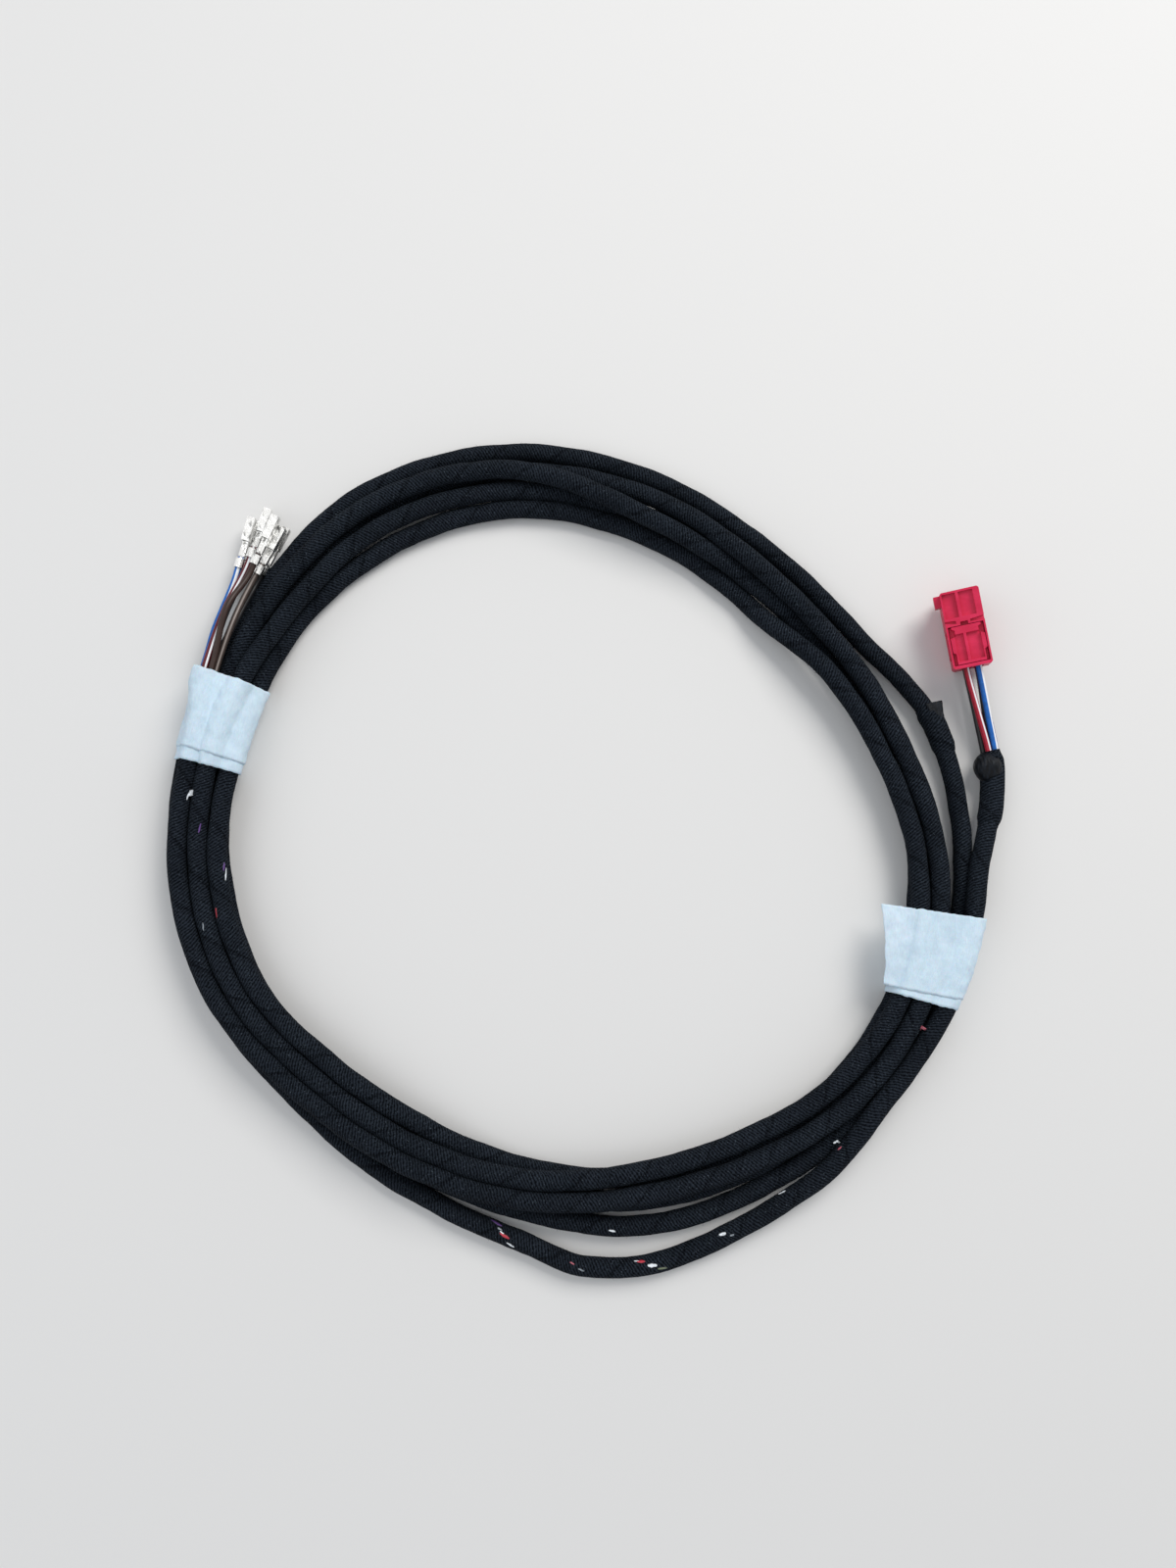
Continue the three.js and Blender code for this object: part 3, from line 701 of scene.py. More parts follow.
def linked(name: str, mesh: Mesh) -> Object:
    """A new object in the scene, at the origin."""
    piece = bpy.data.objects.new(name, mesh)
    bpy.context.scene.collection.objects.link(piece)
    return piece


def grown(name: str, source: Mesh, tree: NodeTree, sizes: dict) -> Object:
    """Runs a Geometry Nodes tree on a mesh and keeps the result as a plain mesh.

    Args:
        name: the new piece's name.
        source: the mesh that goes in.
        tree: the tree to run.
        sizes: values for its named inputs.

    Returns:
        The piece, with no modifier left on it.
    """
    piece = linked(name, source)
    modifier = piece.modifiers.new("shape", "NODES")
    modifier.node_group = tree
    for item in tree.interface.items_tree:
        if item.in_out == "INPUT" and item.name in sizes:
            modifier[item.identifier] = sizes[item.name]
    result = evaluated_mesh(piece)
    piece.modifiers.clear()
    piece.data = result
    result.name = name
    return piece


def evaluated_mesh(piece: Object) -> Mesh:
    """The mesh that a piece's modifiers make of it."""
    graph = bpy.context.evaluated_depsgraph_get()
    graph.update()
    return bpy.data.meshes.new_from_object(piece.evaluated_get(graph))


def line_mesh(points: Iterable[Vector]) -> Mesh:
    """A chain of edges through points."""
    places = [tuple(point) for point in points]
    mesh = bpy.data.meshes.new("line")
    mesh.from_pydata(places, [(i, i + 1) for i in range(len(places) - 1)], [])
    return mesh


def close_ends(mesh: Mesh) -> None:
    """Caps the open ends of a swept tube.

    Args:
        mesh: the tube, changed in place.
    """
    work = bmesh.new()
    work.from_mesh(mesh)
    rims = [edge for edge in work.edges if edge.is_boundary]
    caps = bmesh.ops.holes_fill(work, edges=rims, sides=0)["faces"]
    bmesh.ops.recalc_face_normals(work, faces=work.faces[:])
    for cap in caps:
        cap.smooth = False
    work.to_mesh(mesh)
    work.free()


# Where the loom runs

COIL_CENTRE = (-2.8, -4.9)
LOOM_DIAMETER = 4.4
WIRE_DIAMETER = 1.45
WIRE_RING_RADIUS = 1.58
FIRST_ANGLE = 9.0
LAST_ANGLE = -2000.0
END_GAP_ANGLE = 0.45
WRAP_LAST_ANGLE = 15.3
STRIP_ANGLES = (-201.6, -14.5)
STRIP_LIFT = 0.83
STRIP_LIFT_SPREAD = 17.0
CORD_PATH_STEP = 4
LOOM_TURNS = (
    (
        (15.4, 102.4, 3.2), (9, 99.9, 3.3), (0, 94.3, 5.5), (-10, 92.4, 6.3), (-20, 91.1, 6.2),
        (-40, 88.2, 6.9), (-50, 89.9, 5.2), (-60, 90.2, 3.4), (-70, 91.1, 2.4), (-80, 92.3, 2.2),
        (-90, 91.0, 2.2), (-100, 86.3, 2.2), (-120, 83.4, 2.2), (-140, 84.2, 2.2), (-160, 89.6, 2.2),
        (-180, 93.9, 2.2), (-200, 97.0, 2.2), (-220, 100.3, 2.2), (-240, 104.9, 2.2),
        (-260, 102.9, 2.2), (-280, 96.7, 2.2), (-300, 90.0, 2.2), (-320, 87.3, 2.6),
        (-340, 92.0, 3.0),
    ),
    (
        (0, 91.3, 2.3), (-20, 89.9, 2.2), (-40, 87.6, 2.2), (-60, 85.1, 2.2), (-80, 83.7, 2.2),
        (-100, 79.9, 2.2), (-120, 78.8, 2.2), (-140, 79.5, 2.2), (-160, 85.0, 2.2),
        (-180, 89.1, 2.2), (-200, 92.4, 4.2), (-220, 96.4, 7.0), (-240, 99.9, 6.5),
        (-260, 96.3, 7.6), (-280, 85.4, 7.4), (-300, 80.1, 4.6), (-310, 78.9, 3.4),
        (-320, 77.6, 2.2), (-340, 77.7, 2.2),
    ),
    (
        (0, 80.3, 2.2), (-20, 80.2, 2.2), (-40, 78.5, 2.2), (-60, 75.9, 2.2), (-80, 73.0, 2.2),
        (-100, 70.6, 2.2), (-120, 69.7, 4.9), (-140, 72.6, 6.7), (-160, 79.7, 6.7),
        (-180, 83.7, 6.7), (-200, 84.8, 6.3), (-220, 89.2, 2.2), (-240, 90.0, 2.2),
        (-260, 88.3, 2.2), (-280, 82.3, 2.2), (-300, 76.2, 2.2), (-310, 73.9, 4.4),
        (-320, 74.6, 6.6), (-340, 76.0, 6.7),
    ),
    (
        (0, 79.1, 6.7), (-20, 80.3, 6.7), (-40, 77.6, 6.7), (-60, 72.9, 6.7), (-80, 71.2, 6.7),
        (-100, 72.4, 6.7), (-120, 73.9, 7.0), (-140, 77.2, 6.7), (-160, 84.3, 6.7),
        (-180, 88.2, 6.7), (-200, 89.3, 8.7), (-220, 91.2, 6.7), (-240, 94.3, 5.2),
        (-260, 92.4, 4.0), (-280, 87.2, 2.2), (-300, 85.0, 2.2), (-320, 82.5, 2.2),
        (-340, 82.8, 2.2),
    ),
    (
        (0, 85.2, 2.2), (-20, 85.1, 2.2), (-40, 82.9, 2.2), (-60, 80.5, 2.2), (-80, 78.1, 2.2),
        (-100, 75.4, 2.2), (-120, 74.2, 2.2), (-140, 74.9, 2.2), (-160, 80.3, 2.2),
        (-180, 84.3, 2.2), (-200, 87.9, 2.2), (-220, 94.8, 2.2), (-240, 99.7, 2.2),
        (-260, 97.9, 2.2), (-280, 91.4, 4.6), (-300, 83.3, 8.2), (-320, 80.8, 6.7),
        (-340, 81.0, 6.7),
    ),
    (
        (0, 84.0, 6.7), (-20, 85.1, 6.7), (-40, 83.1, 6.7), (-60, 78.5, 6.7), (-80, 76.3, 6.7),
        (-100, 76.9, 6.6), (-120, 78.2, 7.6), (-140, 81.7, 6.7), (-160, 88.8, 6.7),
        (-180, 92.9, 6.7), (-200, 94.0, 8.6), (-209, 98.3, 8.5),
    ),
)


class LoomRoute:
    """The loom's middle line as radius and height over a running angle."""

    def __init__(self) -> None:
        """Lists the stations, each turn a full circle further clockwise."""
        rows = [
            (angle - 360.0 * count, radius, height)
            for count, turn in enumerate(LOOM_TURNS)
            for angle, radius, height in turn
        ]
        self.angles, self.radii, self.heights = (list(column) for column in zip(*rows))

    def slope(self, index: int, values: list[float]) -> float:
        """A station's slope, level where the value turns back."""
        low, high = max(index - 1, 0), min(index + 1, len(values) - 1)
        if (values[index] - values[low]) * (values[high] - values[index]) <= 0:
            return 0.0
        return (values[high] - values[low]) / (self.angles[high] - self.angles[low])

    def value(self, angle: float, values: list[float]) -> float:
        """A station value at any angle, smooth through all of them.

        Args:
            angle: the angle in degrees.
            values: a value for each station.

        Returns:
            The value there.
        """
        passed = sum(station > angle for station in self.angles)
        index = min(max(passed - 1, 0), len(self.angles) - 2)
        span = self.angles[index + 1] - self.angles[index]
        t = min(max((angle - self.angles[index]) / span, 0.0), 1.0)
        first = self.slope(index, values) * span
        last = self.slope(index + 1, values) * span
        rise = values[index + 1] - values[index]
        curve = t * first + t * t * (3 * rise - 2 * first - last)
        return values[index] + curve + t**3 * (first + last - 2 * rise)

    def cylindrical(self, angle: float) -> Pair:
        """Radius and height of the middle line at an angle, in millimetres."""
        lift = 0.0
        for middle in STRIP_ANGLES:
            turn = (angle - middle + 180.0) % 360.0 - 180.0
            lift += STRIP_LIFT * math.exp(-((turn / STRIP_LIFT_SPREAD) ** 2))
        return self.value(angle, self.radii), self.value(angle, self.heights) + lift

    def point(self, angle: float, outward: float = 0.0, up: float = 0.0) -> Vector:
        """A point beside the middle line, in metres in the part's frame."""
        radius, height = self.cylindrical(angle)
        return placed(polar(angle, radius + outward, height + up))

    def slot(self, angle: float, slot: float, reach: float = WIRE_RING_RADIUS) -> Vector:
        """A place round the middle line at an angle of the ring."""
        turn = math.radians(slot)
        return self.point(angle, reach * math.cos(turn), reach * math.sin(turn))

    def line(self, first: float, last: float, spacing: float) -> list[Vector]:
        """Points along the middle line, about a spacing in metres apart."""
        steps = max(4, round(abs(last - first) * math.radians(88 * MM) / spacing))
        return [self.point(first + (last - first) * i / steps) for i in range(steps + 1)]


def polar(angle: float, radius: float, height: float) -> Triple:
    """A point round the coil's centre, in millimetres."""
    turn = math.radians(angle)
    return radius * math.cos(turn), radius * math.sin(turn), height


def placed(point: Sequence[float]) -> Vector:
    """A point in millimetres round the coil's centre, as metres in the part's frame."""
    x, y, z = point
    return Vector(((x + COIL_CENTRE[0]) * MM, (y + COIL_CENTRE[1]) * MM, z * MM))


def path_length(points: Sequence[Vector]) -> float:
    """The length of a chain of points."""
    return sum((b - a).length for a, b in zip(points, points[1:]))


def smooth_line(knots: Sequence[Vector], steps: int) -> list[Vector]:
    """A centripetal Catmull-Rom line through knots, its points evenly apart.

    Args:
        knots: the points that it passes.
        steps: the number of pieces that it is cut into.

    Returns:
        The points from first to last knot.
    """
    ends = [2 * knots[0] - knots[1], *knots, 2 * knots[-1] - knots[-2]]
    fine: list[Vector] = []
    for a, b, c, d in zip(ends, ends[1:], ends[2:], ends[3:]):
        t1 = (b - a).length ** 0.5
        t2 = t1 + (c - b).length ** 0.5
        t3 = t2 + (d - c).length ** 0.5
        for i in range(24):
            t = t1 + (t2 - t1) * i / 24
            ab = a.lerp(b, t / t1)
            bc = b.lerp(c, (t - t1) / (t2 - t1))
            cd = c.lerp(d, (t - t2) / (t3 - t2))
            abc = ab.lerp(bc, t / t2)
            bcd = bc.lerp(cd, (t - t1) / (t3 - t1))
            fine.append(abc.lerp(bcd, (t - t1) / (t2 - t1)))
    fine.append(knots[-1].copy())
    reach = [0.0]
    for a, b in zip(fine, fine[1:]):
        reach.append(reach[-1] + (b - a).length)
    even = []
    index = 0
    for step in range(steps + 1):
        target = reach[-1] * step / steps
        while index < len(fine) - 2 and reach[index + 1] < target:
            index += 1
        share = (target - reach[index]) / (reach[index + 1] - reach[index])
        even.append(fine[index].lerp(fine[index + 1], min(share, 1.0)))
    return even


# Building blocks for the pieces


def mesh_piece(name: str, vertices: Sequence, faces: Sequence, finish: Finish) -> Object:
    """A piece from vertices and faces, facing outwards.

    Args:
        name: the piece's name.
        vertices: places in metres in the part's frame.
        faces: lists of vertex numbers.
        finish: its finish.

    Returns:
        The new piece.
    """
    mesh = bpy.data.meshes.new(name)
    mesh.from_pydata([tuple(vertex) for vertex in vertices], [], faces)
    work = bmesh.new()
    work.from_mesh(mesh)
    bmesh.ops.recalc_face_normals(work, faces=work.faces[:])
    work.to_mesh(mesh)
    work.free()
    mesh.materials.append(finish.material())
    return linked(name, mesh)


def thickened(piece: Object, thickness: float) -> None:
    """Smooths a sheet and gives it a thickness in millimetres, half on each side."""
    shade_smooth(piece.data)
    shell = piece.modifiers.new("thickness", "SOLIDIFY")
    shell.thickness = thickness * MM
    shell.offset = 0.0


def quads(rows: int, columns: int, closed: bool = False) -> list[list[int]]:
    """The faces of a grid of vertices.

    Args:
        rows: how many rows of vertices there are.
        columns: how many vertices each row has.
        closed: whether each row's last vertex joins its first.

    Returns:
        Each face as four vertex numbers.
    """
    faces = []
    for row in range(rows - 1):
        for column in range(columns if closed else columns - 1):
            a, b = row * columns + column, row * columns + (column + 1) % columns
            faces.append([a, b, b + columns, a + columns])
    return faces


def on_part(piece: Object, finish: Finish, *nodes: str) -> Object:
    """Ties a piece to the part's body and hides the imported nodes that it stands for."""
    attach(piece, BODY)
    if nodes:
        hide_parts(*nodes)
    return piece


def shade_smooth(mesh: Mesh) -> None:
    """Smooth shading all over."""
    mesh.polygons.foreach_set("use_smooth", [True] * len(mesh.polygons))


@dataclass(frozen=True)
class Tube:
    """A round section to sweep along a line: its sizes in metres, and how uneven it is."""

    diameter: float
    sides: int
    lay: float
    swell: float
    unevenness: float
    grain: float
    taper: float = 0.0
    seed: float = 3.0

    def along(self, name: str, points: list[Vector], tree: NodeTree, finish: Finish) -> Object:
        """Sweeps the section.

        Args:
            name: the piece's name.
            points: the line that it follows.
            tree: the tree that sweeps.
            finish: the piece's finish.

        Returns:
            The piece, closed at both ends.
        """
        sizes = {item.name.title(): getattr(self, item.name) for item in fields(self)}
        piece = grown(name, line_mesh(points), tree, {**sizes, "Finish": finish.material()})
        close_ends(piece.data)
        return piece


@dataclass
class SubAssembly:
    """A group of pieces that belong together."""

    def report(self, piece: Object) -> Object:
        """Logs a finished piece and hands it back."""
        LOG.info("%s: %d faces", piece.name, len(piece.data.polygons))
        return piece

    def build(self) -> None:
        """Makes the group's pieces."""
        raise NotImplementedError


class Side(Enum):
    """The two paper strips by the side of the coil that they are on."""

    LEFT = "left"
    RIGHT = "right"


# The taped loom


@dataclass(frozen=True)
class Peek:
    """A gap in the tape where a wire shows: its place on the loom in degrees, and its size."""

    angle: float
    slot: float
    length: float
    width: float
    colour: Triple


VIOLET = (0.10, 0.035, 0.2)
PINK = (0.42, 0.09, 0.13)
RED = (0.45, 0.02, 0.04)
PALE = (0.78, 0.82, 0.86)
DIM = (0.22, 0.25, 0.28)
GREENISH = (0.14, 0.17, 0.10)
PEEKS = (
    Peek(-103.0, 150, 2.2, 0.55, VIOLET),
    Peek(-102.3, 122, 0.9, 0.45, DIM),
    Peek(-101.4, 96, 1.9, 0.75, RED),
    Peek(-101.9, 108, 0.8, 0.3, PALE),
    Peek(-100.3, 58, 1.5, 0.5, PALE),
    Peek(-91.1, 104, 0.8, 0.35, PINK),
    Peek(-89.8, 80, 1.1, 0.35, DIM),
    Peek(-81.3, 128, 1.5, 0.6, RED),
    Peek(-81.9, 134, 0.9, 0.3, PALE),
    Peek(-79.8, 96, 1.7, 0.75, PALE),
    Peek(-78.5, 66, 1.7, 0.5, GREENISH),
    Peek(-69.0, 118, 1.3, 0.7, PALE),
    Peek(-67.8, 90, 0.8, 0.4, DIM),
    Peek(-58.5, 162, 1.5, 0.45, PALE),
    Peek(-445.0, 74, 1.2, 0.5, PALE),
    Peek(-407.5, 88, 1.0, 0.5, PALE),
    Peek(-47.8, 148, 0.9, 0.4, PINK),
    Peek(-26.0, 158, 0.9, 0.4, PINK),
    Peek(-897.8, 148, 2.4, 0.3, PALE),
    Peek(-899.0, 140, 1.6, 0.4, VIOLET),
    Peek(-891.8, 50, 1.8, 0.4, RED),
    Peek(-1250.0, 80, 1.5, 0.3, DIM),
    Peek(-1264.8, 116, 1.8, 0.4, VIOLET),
    Peek(-1989.5, 146, 2.2, 0.3, PALE),
)


@dataclass
class PaintedMesh:
    """The vertices, faces and vertex colours, with painted shade, of a piece in the making."""

    vertices: list[Vector] = field(default_factory=list)
    faces: list[list[int]] = field(default_factory=list)
    shaded_tones: list[Triple] = field(default_factory=list)


@dataclass
class Loom(SubAssembly):
    """The taped bundle in its coil, its end wrap, its splice wrap and the lint on them.

    The sizes given with MM are in metres, and the others in millimetres and degrees. Each sleeve has
    its first and last angle, and how much thicker than the loom it is. The lint's density is in
    fibres a square metre and its lean in radians.
    """

    route: LoomRoute
    tree: NodeTree
    tape: Tube = Tube(LOOM_DIAMETER * MM, 23, TAPE_LAY, 0.12 * MM, 0.42 * MM, 210.0)
    ring_spacing: float = 0.92 * MM
    sleeve_spacing: float = 0.4 * MM
    end_sleeve: Triple = (5.2, WRAP_LAST_ANGLE, 1.2)
    end_taper: float = 0.5 * MM
    splice_sleeve: Triple = (-343.2, -335.6, 1.1)
    splice_taper: float = 0.45 * MM
    wad_middle: Triple = (97.9, 23.0, 4.1)
    wad_radii: Triple = (3.35, 3.7, 2.9)
    wad_turn: float = 8.0
    tag_corners: tuple[Pair, ...] = ((24.7, 91.2), (24.2, 95.3), (21.6, 93.9), (22.4, 91.4))
    tag_base: float = 5.6
    tag_rise: float = -0.5
    tag_thickness: float = 0.35
    lint_length: float = 0.7 * MM
    lint_width: float = 0.05 * MM
    lint_density: float = 330000.0
    lint_lean: float = 1.2
    peek_grid: tuple[int, int] = (15, 7)
    peek_reach: float = 0.68
    peek_slant: float = math.radians(10)
    peek_ray: float = 4.0
    peek_radius: float = 2.3

    def build(self) -> None:
        """Makes the loom, its wraps, the wires that show and the lint."""
        self.bundle()
        self.sleeve("end_sleeve", "end_wrap", self.end_sleeve, self.end_taper)
        self.wad()
        self.sleeve("splice_sleeve", "splice_wrap", self.splice_sleeve, self.splice_taper)
        self.tag()
        self.peeks()
        self.lint()

    def bundle(self) -> None:
        """The loom itself, swept along its middle line."""
        points = self.route.line(FIRST_ANGLE, LAST_ANGLE, self.ring_spacing)
        loom = self.tape.along("loom_tape", points, self.tree, CLOTH)
        on_part(loom, CLOTH, "loom")
        path = points[::CORD_PATH_STEP]
        if path[-1] is not points[-1]:
            path.append(points[-1])
        round(path_length(points), 4)
        self.report(loom)

    def sleeve(self, name: str, node: str, span: Triple, taper: float) -> None:
        """An extra sleeve of tape over a stretch of the loom.

        Args:
            name: the piece's name.
            node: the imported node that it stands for.
            span: its first and last angle, and how much thicker it is than the loom.
            taper: how far its ends are drawn in, in metres.
        """
        first, last, extra = span
        tube = replace(self.tape, diameter=(LOOM_DIAMETER + extra) * MM, taper=taper)
        points = self.route.line(first, last, self.sleeve_spacing)
        self.report(on_part(tube.along(name, points, self.tree, CLOTH), CLOTH, node))

    def wad(self) -> None:
        """The balled-up bit of tape beside the end sleeve."""
        work = bmesh.new()
        bmesh.ops.create_icosphere(work, subdivisions=5, radius=1.0)
        lean = Matrix.Rotation(math.radians(self.wad_turn), 3, "Z")
        middle = placed(self.wad_middle)
        for vertex in work.verts:
            way = vertex.co.normalized()
            folds = noise.noise(Vector((way.x * 7.0, way.y * 1.6, way.z * 3.0)))
            lumps = noise.noise(way * 1.3 + Vector((4.0, 1.0, 2.0)))
            shape = Vector(size * part for size, part in zip(self.wad_radii, way))
            vertex.co = middle + lean @ shape * (1 + 0.05 * folds + 0.12 * lumps) * MM
        mesh = bpy.data.meshes.new("end_wad")
        work.to_mesh(mesh)
        work.free()
        shade_smooth(mesh)
        mesh.materials.append(WAD.material())
        self.report(on_part(linked("end_wad", mesh), WAD))

    def tag(self) -> None:
        """The loose end of tape that stands out from the splice sleeve, ragged at its rim."""
        rows, columns = 12, 10
        (a0, r0), (a1, r1), (a2, r2), (a3, r3) = self.tag_corners
        points = []
        for v in (row / rows for row in range(rows + 1)):
            for u in (column / columns for column in range(columns + 1)):
                ragged = 1.0 if u == 1 or v in (0, 1) else 0.2
                rag = 0.5 * noise.noise(Vector((u * 4.0, v * 4.0, 1.0))) * ragged
                angle = (a0 * (1 - u) + a1 * u) * (1 - v) + (a3 * (1 - u) + a2 * u) * v
                radius = (r0 * (1 - u) + r1 * u) * (1 - v) + (r3 * (1 - u) + r2 * u) * v + rag
                height = self.tag_base + self.tag_rise * u * u + 0.3 * rag
                points.append(placed(polar(angle, radius, height)))
        piece = mesh_piece("splice_tag", points, quads(rows + 1, columns + 1), WAD)
        thickened(piece, self.tag_thickness)
        self.report(on_part(piece, WAD))

    def peeks(self) -> None:
        """The bits of wire that show through gaps in the tape, as one piece."""
        mesh = PaintedMesh()
        tape = bpy.data.objects["loom_tape"].data
        shell = BVHTree.FromPolygons(
            [vertex.co for vertex in tape.vertices], [face.vertices for face in tape.polygons]
        )
        for peek in PEEKS:
            self.chip(peek, shell, mesh)
        piece = mesh_piece("wire_peeks", mesh.vertices, mesh.faces, PEEK_PAINT)
        # The vertex colours hold the painted shade of each slit.
        layer = piece.data.color_attributes.new("tone", "FLOAT_COLOR", "POINT")
        for index, tone in enumerate(mesh.shaded_tones):
            layer.data[index].color = rgba(tone)
        shade_smooth(piece.data)
        self.report(on_part(piece, PEEK_PAINT))

    def chip(self, peek: Peek, surface: BVHTree, mesh: PaintedMesh) -> None:
        """Adds one ragged slit with a bit of wire in it, laid on the loom's own surface.

        Args:
            peek: where it is and how it looks.
            surface: the loom's surface.
            mesh: the mesh so far, added to.
        """
        rows, columns = self.peek_grid
        start = len(mesh.vertices)
        # Painted shade: the slit's edges and its inner wall take this dark copy of the wire's colour.
        dark = shaded(peek.colour, 0.12)
        for row in range(rows):
            t = row / (rows - 1) * 2 - 1
            rag = 1 + 0.5 * noise.noise(Vector((t * 2.1, peek.angle, peek.slot)))
            half = peek.width * 0.5 * rag * max(0.0, 1 - t * t) ** 0.35 + 0.02
            bow = 0.08 * noise.noise(Vector((t * 1.3, peek.slot, 4.0)))
            for column in range(columns):
                s = column / (columns - 1) * 2 - 1
                rise = 0.02 + 0.05 * (1 - abs(s) ** 3)
                mesh.vertices.append(self.on_tape(peek, t * peek.length, s * half + bow, rise, surface))
                # Painted shade: the wire's own colour in the middle of the slit, darker towards its sides and
                # ends.
                lit = min(1.0, max(0.0, 2.4 * (1 - abs(s - 0.1)) * (1 - t**4)))
                mesh.shaded_tones.append(tuple(a + (b - a) * lit for a, b in zip(dark, peek.colour)))
        base = len(mesh.vertices)
        middle = self.route.slot(peek.angle, peek.slot, 0.0)
        mesh.vertices += [point.lerp(middle, 0.12) for point in mesh.vertices[start:]]
        # The inner wall is all painted shade.
        mesh.shaded_tones += [dark] * (base - start)
        for quad in quads(rows, columns):
            mesh.faces.append([start + i for i in quad])
            mesh.faces.append([base + i for i in reversed(quad)])
        rim = list(range(columns))
        rim += [row * columns + columns - 1 for row in range(1, rows)]
        rim += [(rows - 1) * columns + i for i in range(columns - 2, -1, -1)]
        rim += [row * columns for row in range(rows - 2, 0, -1)]
        for a, b in zip(rim, rim[1:] + rim[:1]):
            mesh.faces.append([start + a, base + a, base + b, start + b])

    def on_tape(self, peek: Peek, along: float, aside: float, rise: float, surface: BVHTree) -> Vector:
        """A point of a slit, laid on the tape.

        Args:
            peek: the slit.
            along: how far the point is from the slit's middle, in its length before peek_reach.
            aside: how far it is to the slit's side.
            rise: how far it stands above the tape.
            surface: the loom's surface.

        Returns:
            The point in metres in the part's frame.
        """
        cosine, sine = math.cos(self.peek_slant), math.sin(self.peek_slant)
        run = along * self.peek_reach
        radius, _ = self.route.cylindrical(peek.angle)
        angle = peek.angle - math.degrees((run * cosine + aside * sine) / radius)
        slot = peek.slot + math.degrees((run * sine - aside * cosine) / (LOOM_DIAMETER / 2))
        middle = self.route.slot(angle, slot, 0.0)
        way = (self.route.slot(angle, slot, 1.0) - middle).normalized()
        hit = surface.ray_cast(middle + way * self.peek_ray * MM, -way)[0]
        return (hit or middle + way * self.peek_radius * MM) + way * rise * MM

    def lint(self) -> None:
        """Short fibres over the tape, which give it its soft outline."""
        sizes = {
            "Density": self.lint_density,
            "Fibre Length": self.lint_length,
            "Fibre Width": self.lint_width,
            "Lean": self.lint_lean,
            "Seed": 11,
            "Finish": LINT.material(),
        }
        source = bpy.data.objects["loom_tape"].data.copy()
        self.report(on_part(grown("tape_lint", source, lint_tree(), sizes), LINT))


# Paper strips


def hull(points: Sequence[Pair]) -> list[Pair]:
    """The convex outline round points, anticlockwise.

    Args:
        points: the points.

    Returns:
        Its corners.
    """
    ordered = sorted(set(points))

    def half(run: Iterable[Pair]) -> list[Pair]:
        """One side of the outline.

        Args:
            run: the points in order.

        Returns:
            The corners but the last.
        """
        chain: list[Pair] = []
        for point in run:
            while len(chain) > 1 and turn_of(chain[-2], chain[-1], point) <= 0:
                chain.pop()
            chain.append(point)
        return chain[:-1]

    return half(ordered) + half(reversed(ordered))


def turn_of(a: Pair, b: Pair, c: Pair) -> float:
    """Positive where the way from a by b to c turns left."""
    return (b[0] - a[0]) * (c[1] - a[1]) - (b[1] - a[1]) * (c[0] - a[0])


@dataclass(frozen=True)
class StripLayer:
    """One round of paper: its first and last angle, its distance from the loom, and its shape.

    lean turns its last edge, in degrees a millimetre. hug is how far it is drawn in between the
    strands, as a share of the gap under it. Where flap is set, its free end stands inwards.
    """

    first: float
    last: float
    offset: float
    lean: float
    hug: float = 0.62
    flap: bool = False


STRIPS = {
    Side.LEFT: (
        StripLayer(-194.2, -207.4, 0.42, 0.1, hug=1.2),
        StripLayer(-196.0, -208.6, 0.66, 0.1, hug=1.2),
    ),
    Side.RIGHT: (
        StripLayer(-8.6, -22.4, 0.42, 0.08),
        StripLayer(-8.0, -21.2, 0.66, 0.12, flap=True),
    ),
}


